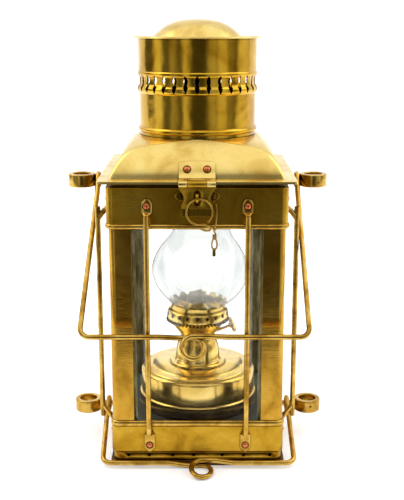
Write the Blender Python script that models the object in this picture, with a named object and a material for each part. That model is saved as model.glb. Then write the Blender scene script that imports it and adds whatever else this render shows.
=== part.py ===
"""A square brass ship's lantern with an oil lamp inside, in metres, standing on its base at z = 0, front towards -Y."""

import math

import bmesh
import bpy
from mathutils import Matrix, Vector

# Driving sizes, in metres.
gap = 0.0003
sheet = 0.0008
leaf_thick = 0.0012

# The square case: half widths and heights.
base_half = 0.0804
base_corner = 0.006
base_top = 0.005
band_half = 0.0792
case_corner = 0.0065
strip_half = 0.0776
strip_top = 0.0129
step_top = 0.0140
low_band_top = 0.0387
wire_half = 0.0803
wire_top = 0.0442
floor_top = 0.0315
post_edge = 0.058
post_top = 0.255
guide_half = 0.0746
guide_edge = 0.055
pane_half = 0.074
pane_outer = 0.07695
pane_thick = 0.002
pane_bottom = 0.0322
pane_top = 0.2478
top_bead_half = 0.0813
top_bead_bottom = 0.2242
top_bead_top = 0.2289
top_band_half = 0.0800
top_band_top = 0.2609
frame_inner = 0.072
frame_lip_half = 0.0765
frame_top = 0.2648
vent_height = 0.0094
vent_radius = 0.0014
vent_place_shares = (-0.808, -0.563, -0.292, -0.046, 0.291, 0.542, 0.848)

# The ring that the lamp stands on.
seat_foot_radius = 0.0540
seat_wall_radius = 0.0480
seat_top = 0.0434

# Guard rods of round wire, with flattened riveted ends.
rod_radius = 0.0024
rod_place = 0.044
rod_plane = 0.0904
tab_half_width = 0.00475
tab_half_thick = 0.0008
tab_end_half_width = 0.0030
top_tab_end = 0.2515
top_tab_start = 0.2400
top_bend_end = 0.2250
top_rivet_height = 0.2452
low_tab_end = 0.0143
low_tab_start = 0.0290
low_bend_end = 0.0440
low_rivet_height = 0.0210
rivet_head_radius = 0.0027
rivet_head_height = 0.0014
rivet_shank_radius = 0.0012
rivet_hole_radius = 0.0015

# Ring lugs on the two sides, each on a shank that also carries a bail's eye.
lug_radius = 0.0129
lug_bore_radius = 0.0083
lug_height = 0.012
lug_place = 0.1093
lug_edge = 0.0006
shank_radius = 0.0028
shank_inside_lug = 0.0022
upper_lug_middle = 0.2553
lower_lug_middle = 0.0287

# Bails of round wire.
bail_radius = 0.0024
eye_radius = 0.0056
bail_corner = 0.008
bail_straight = 0.016
upper_eye_place = 0.0937
upper_out = 0.0957
upper_drop = 0.1245
upper_left = 0.1040
upper_right = 0.0992
upper_curl_place = -0.0035
upper_curl_side = 0.0098
upper_curl_long = 0.0098
upper_curl_droop_deg = 0
lower_eye_place = 0.0890
lower_out = 0.0852
lower_drop = 0.0235
lower_left = 0.0875
lower_right = 0.0893
lower_curl_place = 0.0035
lower_curl_side = 0.0090
lower_curl_long = 0.0119
lower_curl_lift_deg = 14.0
curl_lift = 0.0028
curl_lead = 0.030

# The roof.
flange_half = 0.0867
flange_corner = 0.0035
flange_bottom = 0.2651
flange_top = 0.2676
dome_foot_half = 0.0768
dome_top_half = 0.0550
dome_rise = 0.0319
dome_foot_corner = 0.0030
dome_corner_growth = 0.0035
dome_corner_round = 0.0478
dome_power = 1.5
corner_power = 7
roof_hole_half = 0.0480
roof_sheet = 0.0009

# The chimney drum with its ring of draught slots.
drum_foot_radius = 0.0505
drum_radius = 0.0535
drum_bead_radius = 0.0553
drum_inner_radius = 0.0526
upper_drum_radius = 0.0545
base_bead_bottom = 0.3023
base_bead_top = 0.3076
low_bead_bottom = 0.3372
slot_bottom = 0.3389
low_bead_top = 0.3453
high_bead_bottom = 0.3526
slot_top = 0.3543
high_bead_top = 0.3573
drum_top = 0.3860
bead_chamfer = 0.0013
slot_count = 33
slot_width_share = 0.34
cap_brim_radius = 0.0582
cap_brim_thick = 0.0013
cap_foot_radius = 0.0404
cap_top = 0.4028
cap_sheet = 0.0010
cap_power = 2.8

# Front hasp and back hinge.
barrel_radius = 0.0030
pin_radius = 0.0013
barrel_height = 0.2660
barrel_clearance = 0.0003
hasp_knuckle_half = 0.0083
roof_leaf_half = 0.0158
roof_leaf_top = 0.2830
leaf_foot = 0.0775
leaf_rivet_place = 0.0087
leaf_rivet_height = 0.2765
hasp_half = 0.0160
hasp_waist = 0.0112
hasp_waist_height = 0.2548
hasp_waist_long = 0.0065
hasp_roll_half = 0.0135
hasp_roll_height = 0.2401
hasp_roll_radius = 0.0024
hasp_plane = 0.0874
slot_half = 0.0031
slot_low = 0.2462
slot_high = 0.2599
staple_plate_half = 0.0197
staple_plate_height = 0.2540
staple_plate_tall = 0.0064
staple_half = 0.0012
staple_low = 0.2492
staple_high = 0.2584
staple_nose = 0.0930
staple_eye_radius = 0.0015
plate_rivet_place = 0.0144
ring_middle_x = 0.0020
ring_middle_z = 0.2415
ring_radius = 0.0113
ring_wire = 0.00085
ring_plane = 0.08920
back_leaf_half = 0.0220
back_leaf_bottom = 0.2400
back_knuckle_half = 0.0072

# The safety chain that hangs beside the hasp.
chain_plane = 0.0852
chain_wire = 0.0011
chain_top_x = 0.0144
chain_side_x = 0.0172
chain_low_x = 0.0150
chain_loop_top = 0.2178
chain_loop_bottom = 0.2080
chain_loop_half = 0.0032
chain_pivot = 0.2500
chain_knee = 0.2487
chain_swivel = 0.2231

# The lamp.
font_edge_radius = 0.0572
font_edge_height = 0.0438
font_radius = 0.0556
font_shoulder = 0.0680
font_step_radius = 0.0508
font_step_height = 0.0720
font_disc_radius = 0.0430
font_top = 0.0736
font_mouth_radius = 0.0120
font_sheet = 0.0010
collar_radius = 0.0273
collar_top = 0.0765
neck_foot_radius = 0.0215
neck_low_radius = 0.0210
neck_low_height = 0.0880
neck_radius = 0.0170
neck_height = 0.1000
basket_foot_radius = 0.0184
basket_foot_height = 0.1045
basket_radius = 0.0285
basket_height = 0.1200
gallery_radius = 0.0260
gallery_height = 0.1300
crown_radius = 0.0243
crown_top = 0.1365
burner_sheet = 0.0010
draught_dome_radius = 0.0140
draught_dome_top = 0.1350
glass_lean_deg = 2.6
glass_shift = 0.0008
glass_foot_height = 0.1314
glass_foot_radius = 0.0215
glass_waist_radius = 0.0205
glass_bulb_radius = 0.0470
glass_bulb_height = 0.1670
glass_neck_radius = 0.0290
glass_neck_height = 0.2050
glass_tube_radius = 0.0240
glass_tube_height = 0.2300
glass_top = 0.2800
glass_wall = 0.0014
wick_half_width = 0.0085
wick_half_thick = 0.0012
wick_bottom = 0.0820
wick_top = 0.1462
spindle_radius = 0.0013
spindle_plane = -0.0060
spindle_cross_x = 0.0175
spindle_cross_z = 0.1066
spindle_tilt_deg = 22
spindle_inner = 0.0225
spindle_outer = 0.0160
wheel_radius = 0.0075
wheel_half_thick = 0.0017
wheel_tooth_radius = 0.0045
wheel_tooth_half = 0.0006
wheel_tooth_place = 0.0195

# Counts.
corner_steps = 5
turned_sides = 26
cap_sides = 33
wire_sides = 8
thin_sides = 6

for old in list(bpy.data.objects):
    bpy.data.objects.remove(old)


def material(name, colour, roughness, metallic, transmission=0.0):
    made = bpy.data.materials.new(name)
    made.use_nodes = True
    shader = made.node_tree.nodes["Principled BSDF"]
    shader.inputs["Base Color"].default_value = (*colour, 1.0)
    shader.inputs["Roughness"].default_value = roughness
    shader.inputs["Metallic"].default_value = metallic
    shader.inputs["Transmission Weight"].default_value = transmission
    return made


brass = material("aged_brass", (0.55, 0.38, 0.11), 0.32, 1.0)
wire_brass = material("wire_brass", (0.58, 0.42, 0.16), 0.34, 1.0)
roof_brass = material("polished_brass", (0.72, 0.55, 0.24), 0.24, 1.0)
dark_brass = material("dark_brass", (0.20, 0.15, 0.06), 0.45, 1.0)
tarnished = material("tarnished_channel", (0.33, 0.35, 0.28), 0.55, 0.6)
copper = material("copper_rivet", (0.75, 0.32, 0.20), 0.28, 1.0)
pane_glass = material("window_glass", (0.92, 0.94, 0.93), 0.03, 0.0, 1.0)
lamp_glass_look = material("chimney_glass", (0.96, 0.97, 0.97), 0.02, 0.0, 1.0)
cotton = material("wick_cotton", (0.72, 0.66, 0.50), 0.95, 0.0)
floor_look = material("floor_patina", (0.22, 0.24, 0.19), 0.6, 0.6)


def place(name, mesh, look, location=(0, 0, 0), turn=(0, 0, 0)):
    """One object that shows the mesh at a location and rotation."""
    if not mesh.materials:
        mesh.materials.append(look)
    made = bpy.data.objects.new(name, mesh)
    bpy.context.scene.collection.objects.link(made)
    made.location = location
    made.rotation_euler = turn
    return made


def mesh_of(shape, name):
    """Turn a bmesh into a mesh with outward faces and smooth round parts."""
    bmesh.ops.recalc_face_normals(shape, faces=shape.faces)
    made = bpy.data.meshes.new(name)
    shape.to_mesh(made)
    shape.free()
    made.shade_smooth()
    made.set_sharp_from_angle(angle=math.radians(32))
    return made


def boolean(mesh, other, operation):
    """The mesh after another solid is cut from it or joined to it."""
    body = bpy.data.objects.new("body", mesh)
    tool = bpy.data.objects.new("tool", other)
    for each in (body, tool):
        bpy.context.scene.collection.objects.link(each)
    step = body.modifiers.new("shape", "BOOLEAN")
    step.operation = operation
    step.object = tool
    graph = bpy.context.evaluated_depsgraph_get()
    made = bpy.data.meshes.new_from_object(body.evaluated_get(graph))
    bpy.data.objects.remove(body)
    bpy.data.objects.remove(tool)
    made.materials.clear()
    made.shade_smooth()
    made.set_sharp_from_angle(angle=math.radians(32))
    return made


def cut(mesh, *others):
    for other in others:
        mesh = boolean(mesh, other, "DIFFERENCE")
    return mesh


def ring_verts(shape, points):
    return [shape.verts.new(point) for point in points]


def bridge(shape, first, second):
    count = len(first)
    for i in range(count):
        j = (i + 1) % count
        shape.faces.new((first[i], first[j], second[j], second[i]))


def loft(rings, closed, name):
    """A solid through a stack of rings: capped at both ends, or closed round on itself."""
    shape = bmesh.new()
    made = [ring_verts(shape, ring) for ring in rings]
    for first, second in zip(made, made[1:]):
        bridge(shape, first, second)
    if closed:
        bridge(shape, made[-1], made[0])
    else:
        shape.faces.new(made[0])
        shape.faces.new(list(reversed(made[-1])))
    return mesh_of(shape, name)


def square_ring(half, corner, z, steps=corner_steps):
    """Points round a square with rounded corners."""
    corner = min(corner, half * 0.985)
    points = []
    for quarter in range(4):
        start = quarter * math.pi / 2
        centre = Vector((half - corner, half - corner, 0))
        centre.rotate(Matrix.Rotation(start, 3, "Z"))
        for k in range(steps + 1):
            angle = start + k / steps * math.pi / 2
            offset = Vector((math.cos(angle), math.sin(angle), 0)) * corner
            points.append(centre + offset + Vector((0, 0, z)))
    return points


def square_shell(profile, closed, name, steps=corner_steps):
    """A square turned shape: the profile lists half width, corner radius and height."""
    return loft([square_ring(half, corner, z, steps) for half, corner, z in profile], closed, name)


def turned(profile, name, sides=turned_sides, closed=True):
    """A solid of revolution about Z: the profile lists radius and height, and may end on the axis."""
    shape = bmesh.new()
    rings = []
    for radius, z in profile:
        if radius == 0:
            rings.append([shape.verts.new((0, 0, z))])
            continue
        angles = [2 * math.pi * k / sides for k in range(sides)]
        rings.append(ring_verts(shape, [(radius * math.cos(a), radius * math.sin(a), z) for a in angles]))
    pairs = list(zip(rings, rings[1:]))
    if closed and len(rings[0]) > 1 and len(rings[-1]) > 1:
        pairs.append((rings[-1], rings[0]))
    for first, second in pairs:
        if len(first) == 1 and len(second) == 1:
            continue
        if len(first) == 1 or len(second) == 1:
            tip, rim = (first[0], second) if len(first) == 1 else (second[0], first)
            for i in range(sides):
                shape.faces.new((tip, rim[i], rim[(i + 1) % sides]))
            continue
        bridge(shape, first, second)
    return mesh_of(shape, name)


def box(low, high, name="box"):
    shape = bmesh.new()
    (x0, y0, z0), (x1, y1, z1) = low, high
    foot = ring_verts(shape, [(x0, y0, z0), (x1, y0, z0), (x1, y1, z0), (x0, y1, z0)])
    head = ring_verts(shape, [(x0, y0, z1), (x1, y0, z1), (x1, y1, z1), (x0, y1, z1)])
    bridge(shape, foot, head)
    shape.faces.new(foot)
    shape.faces.new(head)
    return mesh_of(shape, name)


def bars(ends, radius, sides, name="bars"):
    """Round bars between pairs of points, as one cutter."""
    shape = bmesh.new()
    for start, end in ends:
        start, end = Vector(start), Vector(end)
        turn = (end - start).to_track_quat("Z", "Y").to_matrix().to_4x4()
        where = Matrix.Translation((start + end) / 2) @ turn
        bmesh.ops.create_cone(
            shape,
            cap_ends=True,
            segments=sides,
            radius1=radius,
            radius2=radius,
            depth=(end - start).length,
            matrix=where,
        )
    return mesh_of(shape, name)


def slab(outline, low, high, axis, name="slab"):
    """A flat outline extruded along one axis; the outline's two coordinates are the other axes in order."""
    rings = []
    for level in (low, high):
        if axis == "X":
            rings.append([(level, a, b) for a, b in outline])
        elif axis == "Y":
            rings.append([(a, level, b) for a, b in outline])
        else:
            rings.append([(a, b, level) for a, b in outline])
    return loft(rings, False, name)


def sweep(points, sections, side, name, sides=wire_sides):
    """A closed wire along points; a section holds its half sizes across and along the starting side."""
    points = [Vector(point) for point in points]
    rings = []
    side = Vector(side)
    for k, point in enumerate(points):
        before = points[max(k - 1, 0)]
        after = points[min(k + 1, len(points) - 1)]
        tangent = (after - before).normalized()
        side = (side - tangent * side.dot(tangent)).normalized()
        up = tangent.cross(side)
        wide, thick = sections[k]
        ring = []
        for j in range(sides):
            angle = 2 * math.pi * (j + 0.5) / sides
            ring.append(point + side * wide * math.cos(angle) + up * thick * math.sin(angle))
        rings.append(ring)
    return loft(rings, False, name)


def fillet(points, radius, steps):
    """The path with its inner corners rounded."""
    points = [Vector(point) for point in points]
    path = [points[0]]
    for before, corner, after in zip(points, points[1:], points[2:]):
        back = (before - corner).normalized()
        ahead = (after - corner).normalized()
        half_angle = back.angle(ahead) / 2
        reach = radius / math.tan(half_angle)
        centre = corner + (back + ahead).normalized() * (radius / math.sin(half_angle))
        start = corner + back * reach - centre
        end = corner + ahead * reach - centre
        whole = start.angle(end)
        for k in range(steps + 1):
            share = k / steps
            mixed = start * math.sin((1 - share) * whole) + end * math.sin(share * whole)
            path.append(centre + mixed / math.sin(whole))
    path.append(points[-1])
    return path


def ribbon(path, thick):
    """The outline of a strip of sheet that follows a path in a plane."""
    left, right = [], []
    for k, (a, b) in enumerate(path):
        before = path[max(k - 1, 0)]
        after = path[min(k + 1, len(path) - 1)]
        along = Vector((after[0] - before[0], after[1] - before[1])).normalized()
        left.append((a - along.y * thick / 2, b + along.x * thick / 2))
        right.append((a + along.y * thick / 2, b - along.x * thick / 2))
    return left + right[::-1]


def arc(centre, radius, start_deg, end_deg, steps):
    points = []
    for k in range(steps + 1):
        angle = math.radians(start_deg + (end_deg - start_deg) * k / steps)
        points.append((centre[0] + radius * math.cos(angle), centre[1] + radius * math.sin(angle)))
    return points


quarters = (("front", 0), ("right", math.pi / 2), ("back", math.pi), ("left", -math.pi / 2))

# Base plate and floor.
case_inner = band_half - sheet
post_half = case_inner - gap
place(
    "base_plate",
    square_shell([(base_half, base_corner, 0), (base_half, base_corner, base_top)], False, "base_plate"),
    brass,
)
place(
    "floor_plate",
    square_shell(
        [(post_half, case_corner, floor_top - sheet), (post_half, case_corner, floor_top)], False, "floor_plate"
    ),
    floor_look,
)

# Lower band: an upright sheet whose foot is set back into a strip with small vent holes.
band_foot = base_top + gap
low_band = square_shell(
    [
        (strip_half, case_corner, band_foot),
        (strip_half, case_corner, strip_top),
        (band_half, case_corner, step_top),
        (band_half, case_corner, low_band_top),
        (case_inner, case_corner - sheet, low_band_top),
        (case_inner, case_corner - sheet, step_top),
        (strip_half - sheet, case_corner - sheet, strip_top),
        (strip_half - sheet, case_corner - sheet, band_foot),
    ],
    True,
    "bottom_band",
)
vents = []
for share in vent_place_shares:
    across = share * band_half
    vents.append(((across, -base_half, vent_height), (across, base_half, vent_height)))
    vents.append(((-base_half, across, vent_height), (base_half, across, vent_height)))
rod_spots = (
    ("front_left", (-rod_place, 0, 0), 0),
    ("front_right", (rod_place, 0, 0), 0),
    ("left", (0, -rod_place, 0), -math.pi / 2),
    ("right", (0, -rod_place, 0), math.pi / 2),
)


def rivet_lines(height):
    """The centre lines of the rivets that hold one end of each guard rod."""
    lines = []
    for _, spot, turn in rod_spots:
        rotation = Matrix.Rotation(turn, 3, "Z")
        for near, far in ((strip_half - case_corner, base_half),):
            start = rotation @ Vector((0, -near, 0)) + Vector(spot)
            end = rotation @ Vector((0, -far, 0)) + Vector(spot)
            lines.append((start + Vector((0, 0, height)), end + Vector((0, 0, height))))
    return lines


low_band = cut(low_band, bars(vents, vent_radius, 6), bars(rivet_lines(low_rivet_height), rivet_hole_radius, 6))
place("bottom_band", low_band, brass)

# The wired edge round the top of the lower band, flat inside and half round outside.
wire_bottom = low_band_top + gap
wire_proud = wire_half - case_inner
place(
    "bottom_wire",
    square_shell(
        [
            (case_inner, case_corner - sheet, wire_bottom),
            (case_inner + wire_proud / 2, case_corner, wire_bottom),
            (wire_half, case_corner + sheet, wire_bottom + wire_proud / 2),
            (wire_half, case_corner + sheet, wire_top - wire_proud / 2),
            (case_inner + wire_proud / 2, case_corner, wire_top),
            (case_inner, case_corner - sheet, wire_top),
        ],
        True,
        "bottom_wire",
    ),
    wire_brass,
)

# The ring on the floor that the lamp stands on.
seat_bottom = floor_top + gap
place(
    "lamp_seat",
    turned(
        [
            (seat_foot_radius, seat_bottom),
            (seat_foot_radius, seat_bottom + leaf_thick),
            (seat_wall_radius + leaf_thick, seat_bottom + leaf_thick),
            (seat_wall_radius + leaf_thick, seat_top),
            (seat_wall_radius, seat_top),
            (seat_wall_radius, seat_bottom),
        ],
        "lamp_seat",
    ),
    dark_brass,
)


def angle_section(outer, edge, thick, corner):
    """The outline of a corner piece with a rounded corner, for the corner at +X and -Y."""
    inner = outer - thick
    bend = outer - corner
    points = [(edge, -outer)]
    points += arc((bend, -bend), corner, -90, 0, 4)
    points += [(outer, -edge), (inner, -edge)]
    points += arc((bend, -bend), corner - thick, 0, -90, 4)
    points.append((edge, -inner))
    return points


# Corner posts, the inner channels that hold the panes against them, and the four panes.
post_bottom = floor_top + gap
post_mesh = slab(angle_section(post_half, post_edge, sheet, case_corner - sheet), post_bottom, post_top, "Z", "post")
guide_mesh = slab(angle_section(guide_half, guide_edge, sheet, sheet * 2), post_bottom, post_top, "Z", "guide")
pane_mesh = box((-pane_half, -pane_outer, pane_bottom), (pane_half, -pane_outer + pane_thick, pane_top), "pane")
for corner_name, (_, turn) in zip(("front_right", "back_right", "back_left", "front_left"), quarters):
    place("post_" + corner_name, post_mesh, brass, turn=(0, 0, turn))
    place("guide_" + corner_name, guide_mesh, tarnished, turn=(0, 0, turn))
for side_name, turn in quarters:
    place("pane_" + side_name, pane_mesh, pane_glass, turn=(0, 0, turn))

# Upper band, the bead along its lower edge, and the frame inside that the roof closes on.
bead_inner = top_band_half - sheet
place(
    "top_bead",
    square_shell(
        [
            (bead_inner, case_corner - sheet, top_bead_bottom),
            (top_band_half, case_corner, top_bead_bottom),
            (top_bead_half, case_corner + sheet, top_bead_bottom + bead_chamfer),
            (top_bead_half, case_corner + sheet, top_bead_top - bead_chamfer),
            (top_band_half, case_corner, top_bead_top),
            (bead_inner, case_corner - sheet, top_bead_top),
        ],
        True,
        "top_bead",
    ),
    wire_brass,
)
top_band = square_shell(
    [
        (top_band_half, case_corner, top_bead_top + gap),
        (top_band_half, case_corner, top_band_top),
        (bead_inner, case_corner - sheet, top_band_top),
        (bead_inner, case_corner - sheet, top_bead_top + gap),
    ],
    True,
    "top_band",
)
place("top_band", cut(top_band, bars(rivet_lines(top_rivet_height), rivet_hole_radius, 6)), brass)
frame_outer = bead_inner - gap
frame_bottom = post_top + gap
place(
    "top_frame",
    square_shell(
        [
            (frame_inner, case_corner - sheet, frame_bottom),
            (frame_outer, case_corner - sheet, frame_bottom),
            (frame_outer, case_corner - sheet, top_band_top - gap),
            (frame_lip_half, case_corner - sheet, top_band_top - gap),
            (frame_lip_half, case_corner - sheet, frame_top),
            (frame_inner, case_corner - sheet, frame_top),
        ],
        True,
        "top_frame",
    ),
    dark_brass,
)

# Guard rods: a straight round wire standing off the panes, bent in and hammered flat at each end.
top_tab_plane = top_band_half + gap + tab_half_thick
low_tab_plane = band_half + gap + tab_half_thick
flat = (tab_half_width, tab_half_thick)
narrow = (tab_end_half_width, tab_half_thick)
round_wire = (rod_radius, rod_radius)


def bend(tab_plane, tab_height, bend_height):
    """Points and sections from the flat tab out to the straight rod."""
    rise = bend_height - tab_height
    out = rod_plane - tab_plane
    shares = (
        (0.00, 0.00, flat),
        (0.10, 0.05, (tab_half_width * 0.8, tab_half_thick * 1.5)),
        (0.24, 0.20, (rod_radius * 1.15, rod_radius * 0.85)),
        (0.36, 0.34, round_wire),
        (0.80, 0.88, round_wire),
        (0.90, 0.97, round_wire),
        (1.00, 1.00, round_wire),
    )
    return [((0, -(tab_plane + out * b), tab_height + rise * a), section) for a, b, section in shares]


tab_round = tab_half_width / 2
rod_line = [
    ((0, -top_tab_plane, top_tab_end), narrow),
    ((0, -top_tab_plane, top_tab_end - tab_round), flat),
    *bend(top_tab_plane, top_tab_start, top_bend_end),
    *reversed(bend(low_tab_plane, low_tab_start, low_bend_end)),
    ((0, -low_tab_plane, low_tab_end + tab_round), flat),
    ((0, -low_tab_plane, low_tab_end), narrow),
]
rod_mesh = sweep([p for p, _ in rod_line], [s for _, s in rod_line], (1, 0, 0), "guard_rod", 8)
rod_holes = [
    ((0, -strip_half, height), (0, -rod_plane, height)) for height in (top_rivet_height, low_rivet_height)
]
rod_mesh = cut(rod_mesh, bars(rod_holes, rivet_hole_radius, 6))


def rivet(head_radius, head_height, shank_radius, shank_long, name):
    """A round-headed rivet along Z, its head's flat underside at the origin."""
    return turned(
        [
            (0, head_height),
            (head_radius * 0.62, head_height * 0.78),
            (head_radius, head_height * 0.22),
            (head_radius, 0),
            (shank_radius, 0),
            (shank_radius, -shank_long),
            (0, -shank_long),
        ],
        name,
        8,
    )


# The shank goes through the tab and the band, and ends just inside the band.
guard_rivet = rivet(
    rivet_head_radius, rivet_head_height, rivet_shank_radius, 2 * tab_half_thick + sheet + 3 * gap, "guard_rivet"
)
for rod_name, spot, turn in rod_spots:
    place("guard_rod_" + rod_name, rod_mesh, wire_brass, spot, (0, 0, turn))
    for end_name, plane, height in (
        ("top", top_tab_plane, top_rivet_height),
        ("low", low_tab_plane, low_rivet_height),
    ):
        head = plane + tab_half_thick + gap
        where = Matrix.Rotation(turn, 3, "Z") @ Vector((0, -head, height)) + Vector(spot)
        place("guard_rivet_" + rod_name + "_" + end_name, guard_rivet, copper, where, (math.pi / 2, 0, turn))

# Ring lugs: a short upright tube on the end of a round shank.
lug_low = -lug_height / 2
lug_high = lug_height / 2
lug_tube = turned(
    [
        (lug_bore_radius, lug_low),
        (lug_radius - lug_edge, lug_low),
        (lug_radius, lug_low + lug_edge),
        (lug_radius, lug_high - lug_edge),
        (lug_radius - lug_edge, lug_high),
        (lug_bore_radius, lug_high),
    ],
    "lug",
    18,
)
for level_name, height, wall in (("upper", upper_lug_middle, top_band_half), ("lower", lower_lug_middle, band_half)):
    near = wall + gap - lug_place
    far = shank_inside_lug - lug_radius
    shank = bars([((near, 0, 0), (far, 0, 0))], shank_radius, 8)
    lug_mesh = boolean(lug_tube.copy(), shank, "UNION")
    lug_mesh.name = level_name + "_lug"
    place("lug_" + level_name + "_right", lug_mesh, wire_brass, (lug_place, 0, height))
    place("lug_" + level_name + "_left", lug_mesh, wire_brass, (-lug_place, 0, height), (0, 0, math.pi))


def bail(eye_place, out, drop, left, right, curl_place, curl_side, curl_long, lift_deg, name):
    """A wire bail hung on the two shanks, its origin on the pivot line, with one full curl in its bar."""
    leg = math.sqrt(out * out + drop * drop - eye_radius * eye_radius)
    slope = math.atan2(drop, out) + math.atan2(eye_radius, leg)
    along = Vector((0, -math.cos(slope), -math.sin(slope)))
    across = Vector((0, -math.sin(slope), math.cos(slope)))
    lift = math.radians(lift_deg)
    curl_along = along * math.cos(lift) + across * math.sin(lift)
    curl_across = across * math.cos(lift) - along * math.sin(lift)
    bar = along * leg + across * eye_radius

    def eye(x):
        turn = [math.radians(-270 * k / 8) for k in range(9)]
        centres = [along * math.cos(a) + across * math.sin(a) for a in turn]
        return [Vector((x, 0, 0)) + centre * eye_radius for centre in centres]

    def on_curl(x, down, proud):
        return bar + Vector((x, 0, 0)) + curl_along * down + curl_across * proud

    straight = along * bail_straight + across * eye_radius
    left_path = fillet(
        [
            Vector((-eye_place, 0, 0)) + straight,
            bar + Vector((-left, 0, 0)),
            on_curl(curl_place - curl_lead, 0, 0),
        ],
        bail_corner,
        4,
    )
    right_path = fillet(
        [
            on_curl(curl_place + curl_lead, 0, 0),
            bar + Vector((right, 0, 0)),
            Vector((eye_place, 0, 0)) + straight,
        ],
        bail_corner,
        4,
    )
    curl = []
    turns = 16
    for k in range(turns + 1):
        angle = -2 * math.pi * k / turns
        proud = -curl_lift + 2 * curl_lift * k / turns
        down = curl_long * (1 - math.cos(angle))
        curl.append(on_curl(curl_place - curl_side * math.sin(angle), down, proud))
    near_left = on_curl(curl_place - curl_lead * 0.45, 0, -curl_lift * 0.92)
    near_right = on_curl(curl_place + curl_lead * 0.45, 0, curl_lift * 0.92)
    path = eye(-eye_place) + left_path + [near_left] + curl + [near_right] + right_path
    path += list(reversed(eye(eye_place)))
    return sweep(path, [(bail_radius, bail_radius)] * len(path), (1, 0, 0), name)


place(
    "upper_bail",
    bail(
        upper_eye_place,
        upper_out,
        upper_drop,
        upper_left,
        upper_right,
        upper_curl_place,
        upper_curl_side,
        upper_curl_long,
        upper_curl_droop_deg,
        "upper_bail",
    ),
    wire_brass,
    (0, 0, upper_lug_middle),
)
place(
    "lower_bail",
    bail(
        lower_eye_place,
        lower_out,
        lower_drop,
        lower_left,
        lower_right,
        lower_curl_place,
        lower_curl_side,
        lower_curl_long,
        lower_curl_lift_deg,
        "lower_bail",
    ),
    wire_brass,
    (0, 0, lower_lug_middle),
)


def dome_half(share):
    return dome_top_half + (dome_foot_half - dome_top_half) * (1 - share**dome_power)


def dome_corner(share):
    return dome_foot_corner + dome_corner_growth * share + dome_corner_round * share**corner_power


# Roof: a square flange, and a dome that turns from a square foot to a round top.
levels = (0.0, 0.15, 0.32, 0.5, 0.66, 0.8, 0.9, 1.0)
roof_profile = [
    (flange_half, flange_corner, flange_bottom),
    (flange_half, flange_corner, flange_top),
]
for share in levels:
    roof_profile.append((dome_half(share), dome_corner(share), flange_top + dome_rise * share))
roof_profile.append((roof_hole_half, roof_hole_half, flange_top + dome_rise))
roof_profile.append((roof_hole_half, roof_hole_half, flange_top + dome_rise - roof_sheet))
for share in reversed(levels[1:]):
    inner_height = flange_top + dome_rise * share - roof_sheet
    roof_profile.append((dome_half(share) - roof_sheet, dome_corner(share), inner_height))
roof_profile.append((dome_foot_half - roof_sheet, dome_foot_corner, flange_bottom))
hinge_out = flange_half + gap + barrel_radius
hinge_origin = (0, hinge_out, barrel_height)


def on_hinge(mesh, name, look):
    """A piece that turns with the roof, its origin on the hinge line at the back."""
    mesh.transform(Matrix.Translation(-Vector(hinge_origin)))
    return place(name, mesh, look, hinge_origin)


on_hinge(square_shell(roof_profile, True, "roof_shell", 7), "roof_shell", roof_brass)

# Chimney drum: a turned wall with beads, and a ring of upright slots cut through it.
drum_foot = flange_top + dome_rise + gap
outer_line = [
    (drum_radius, drum_foot),
    (drum_radius, base_bead_bottom),
    (drum_bead_radius, base_bead_bottom + bead_chamfer),
    (drum_bead_radius, base_bead_top - bead_chamfer),
    (drum_radius, base_bead_top),
    (drum_radius, low_bead_bottom),
    (drum_bead_radius, slot_bottom),
    (drum_bead_radius, low_bead_top - bead_chamfer),
    (drum_radius, low_bead_top),
    (drum_radius, high_bead_bottom),
    (drum_bead_radius, slot_top),
    (drum_bead_radius, high_bead_top - bead_chamfer),
    (upper_drum_radius, high_bead_top),
    (upper_drum_radius, drum_top),
]
inner_line = [
    (drum_inner_radius, drum_top),
    (drum_inner_radius, slot_top),
    (drum_inner_radius, slot_bottom),
    (drum_inner_radius, drum_foot + leaf_thick),
    (drum_foot_radius, drum_foot + leaf_thick),
    (drum_foot_radius, drum_foot),
]


def slotted_drum():
    shape = bmesh.new()
    pitch = 2 * math.pi / slot_count
    angles = []
    for k in range(slot_count):
        middle = k * pitch - math.pi / 2
        angles.append(middle - pitch * slot_width_share / 2)
        angles.append(middle + pitch * slot_width_share / 2)
    line = outer_line + inner_line
    rings = []
    for radius, z in line:
        rings.append(ring_verts(shape, [(radius * math.cos(a), radius * math.sin(a), z) for a in angles]))
    low = outer_line.index((drum_bead_radius, slot_bottom))
    high = outer_line.index((drum_bead_radius, slot_top))
    inner_high = len(outer_line) + inner_line.index((drum_inner_radius, slot_top))
    inner_low = inner_high + 1
    count = len(angles)
    for r in range(len(line)):
        s = (r + 1) % len(line)
        for i in range(count):
            j = (i + 1) % count
            open_here = i % 2 == 0 and (low <= r < high or r == inner_high)
            if not open_here:
                shape.faces.new((rings[r][i], rings[r][j], rings[s][j], rings[s][i]))
    for i in range(0, count, 2):
        j = i + 1
        shape.faces.new((rings[low][i], rings[low][j], rings[inner_low][j], rings[inner_low][i]))
        shape.faces.new((rings[high][i], rings[high][j], rings[inner_high][j], rings[inner_high][i]))
        for side in (i, j):
            wall = [rings[r][side] for r in range(low, high + 1)]
            shape.faces.new(wall + [rings[inner_high][side], rings[inner_low][side]])
    return mesh_of(shape, "chimney_drum")


on_hinge(slotted_drum(), "chimney_drum", roof_brass)

# Chimney cap: a thin brim with a low dome.
brim_bottom = drum_top + gap
brim_top = brim_bottom + cap_brim_thick
dome_shares = (0.0, 0.22, 0.42, 0.6, 0.76, 0.88, 0.96, 1.0)


def cap_line(radius, foot, top):
    return [(radius * s, foot + (top - foot) * (1 - s**cap_power)) for s in dome_shares]


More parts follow.
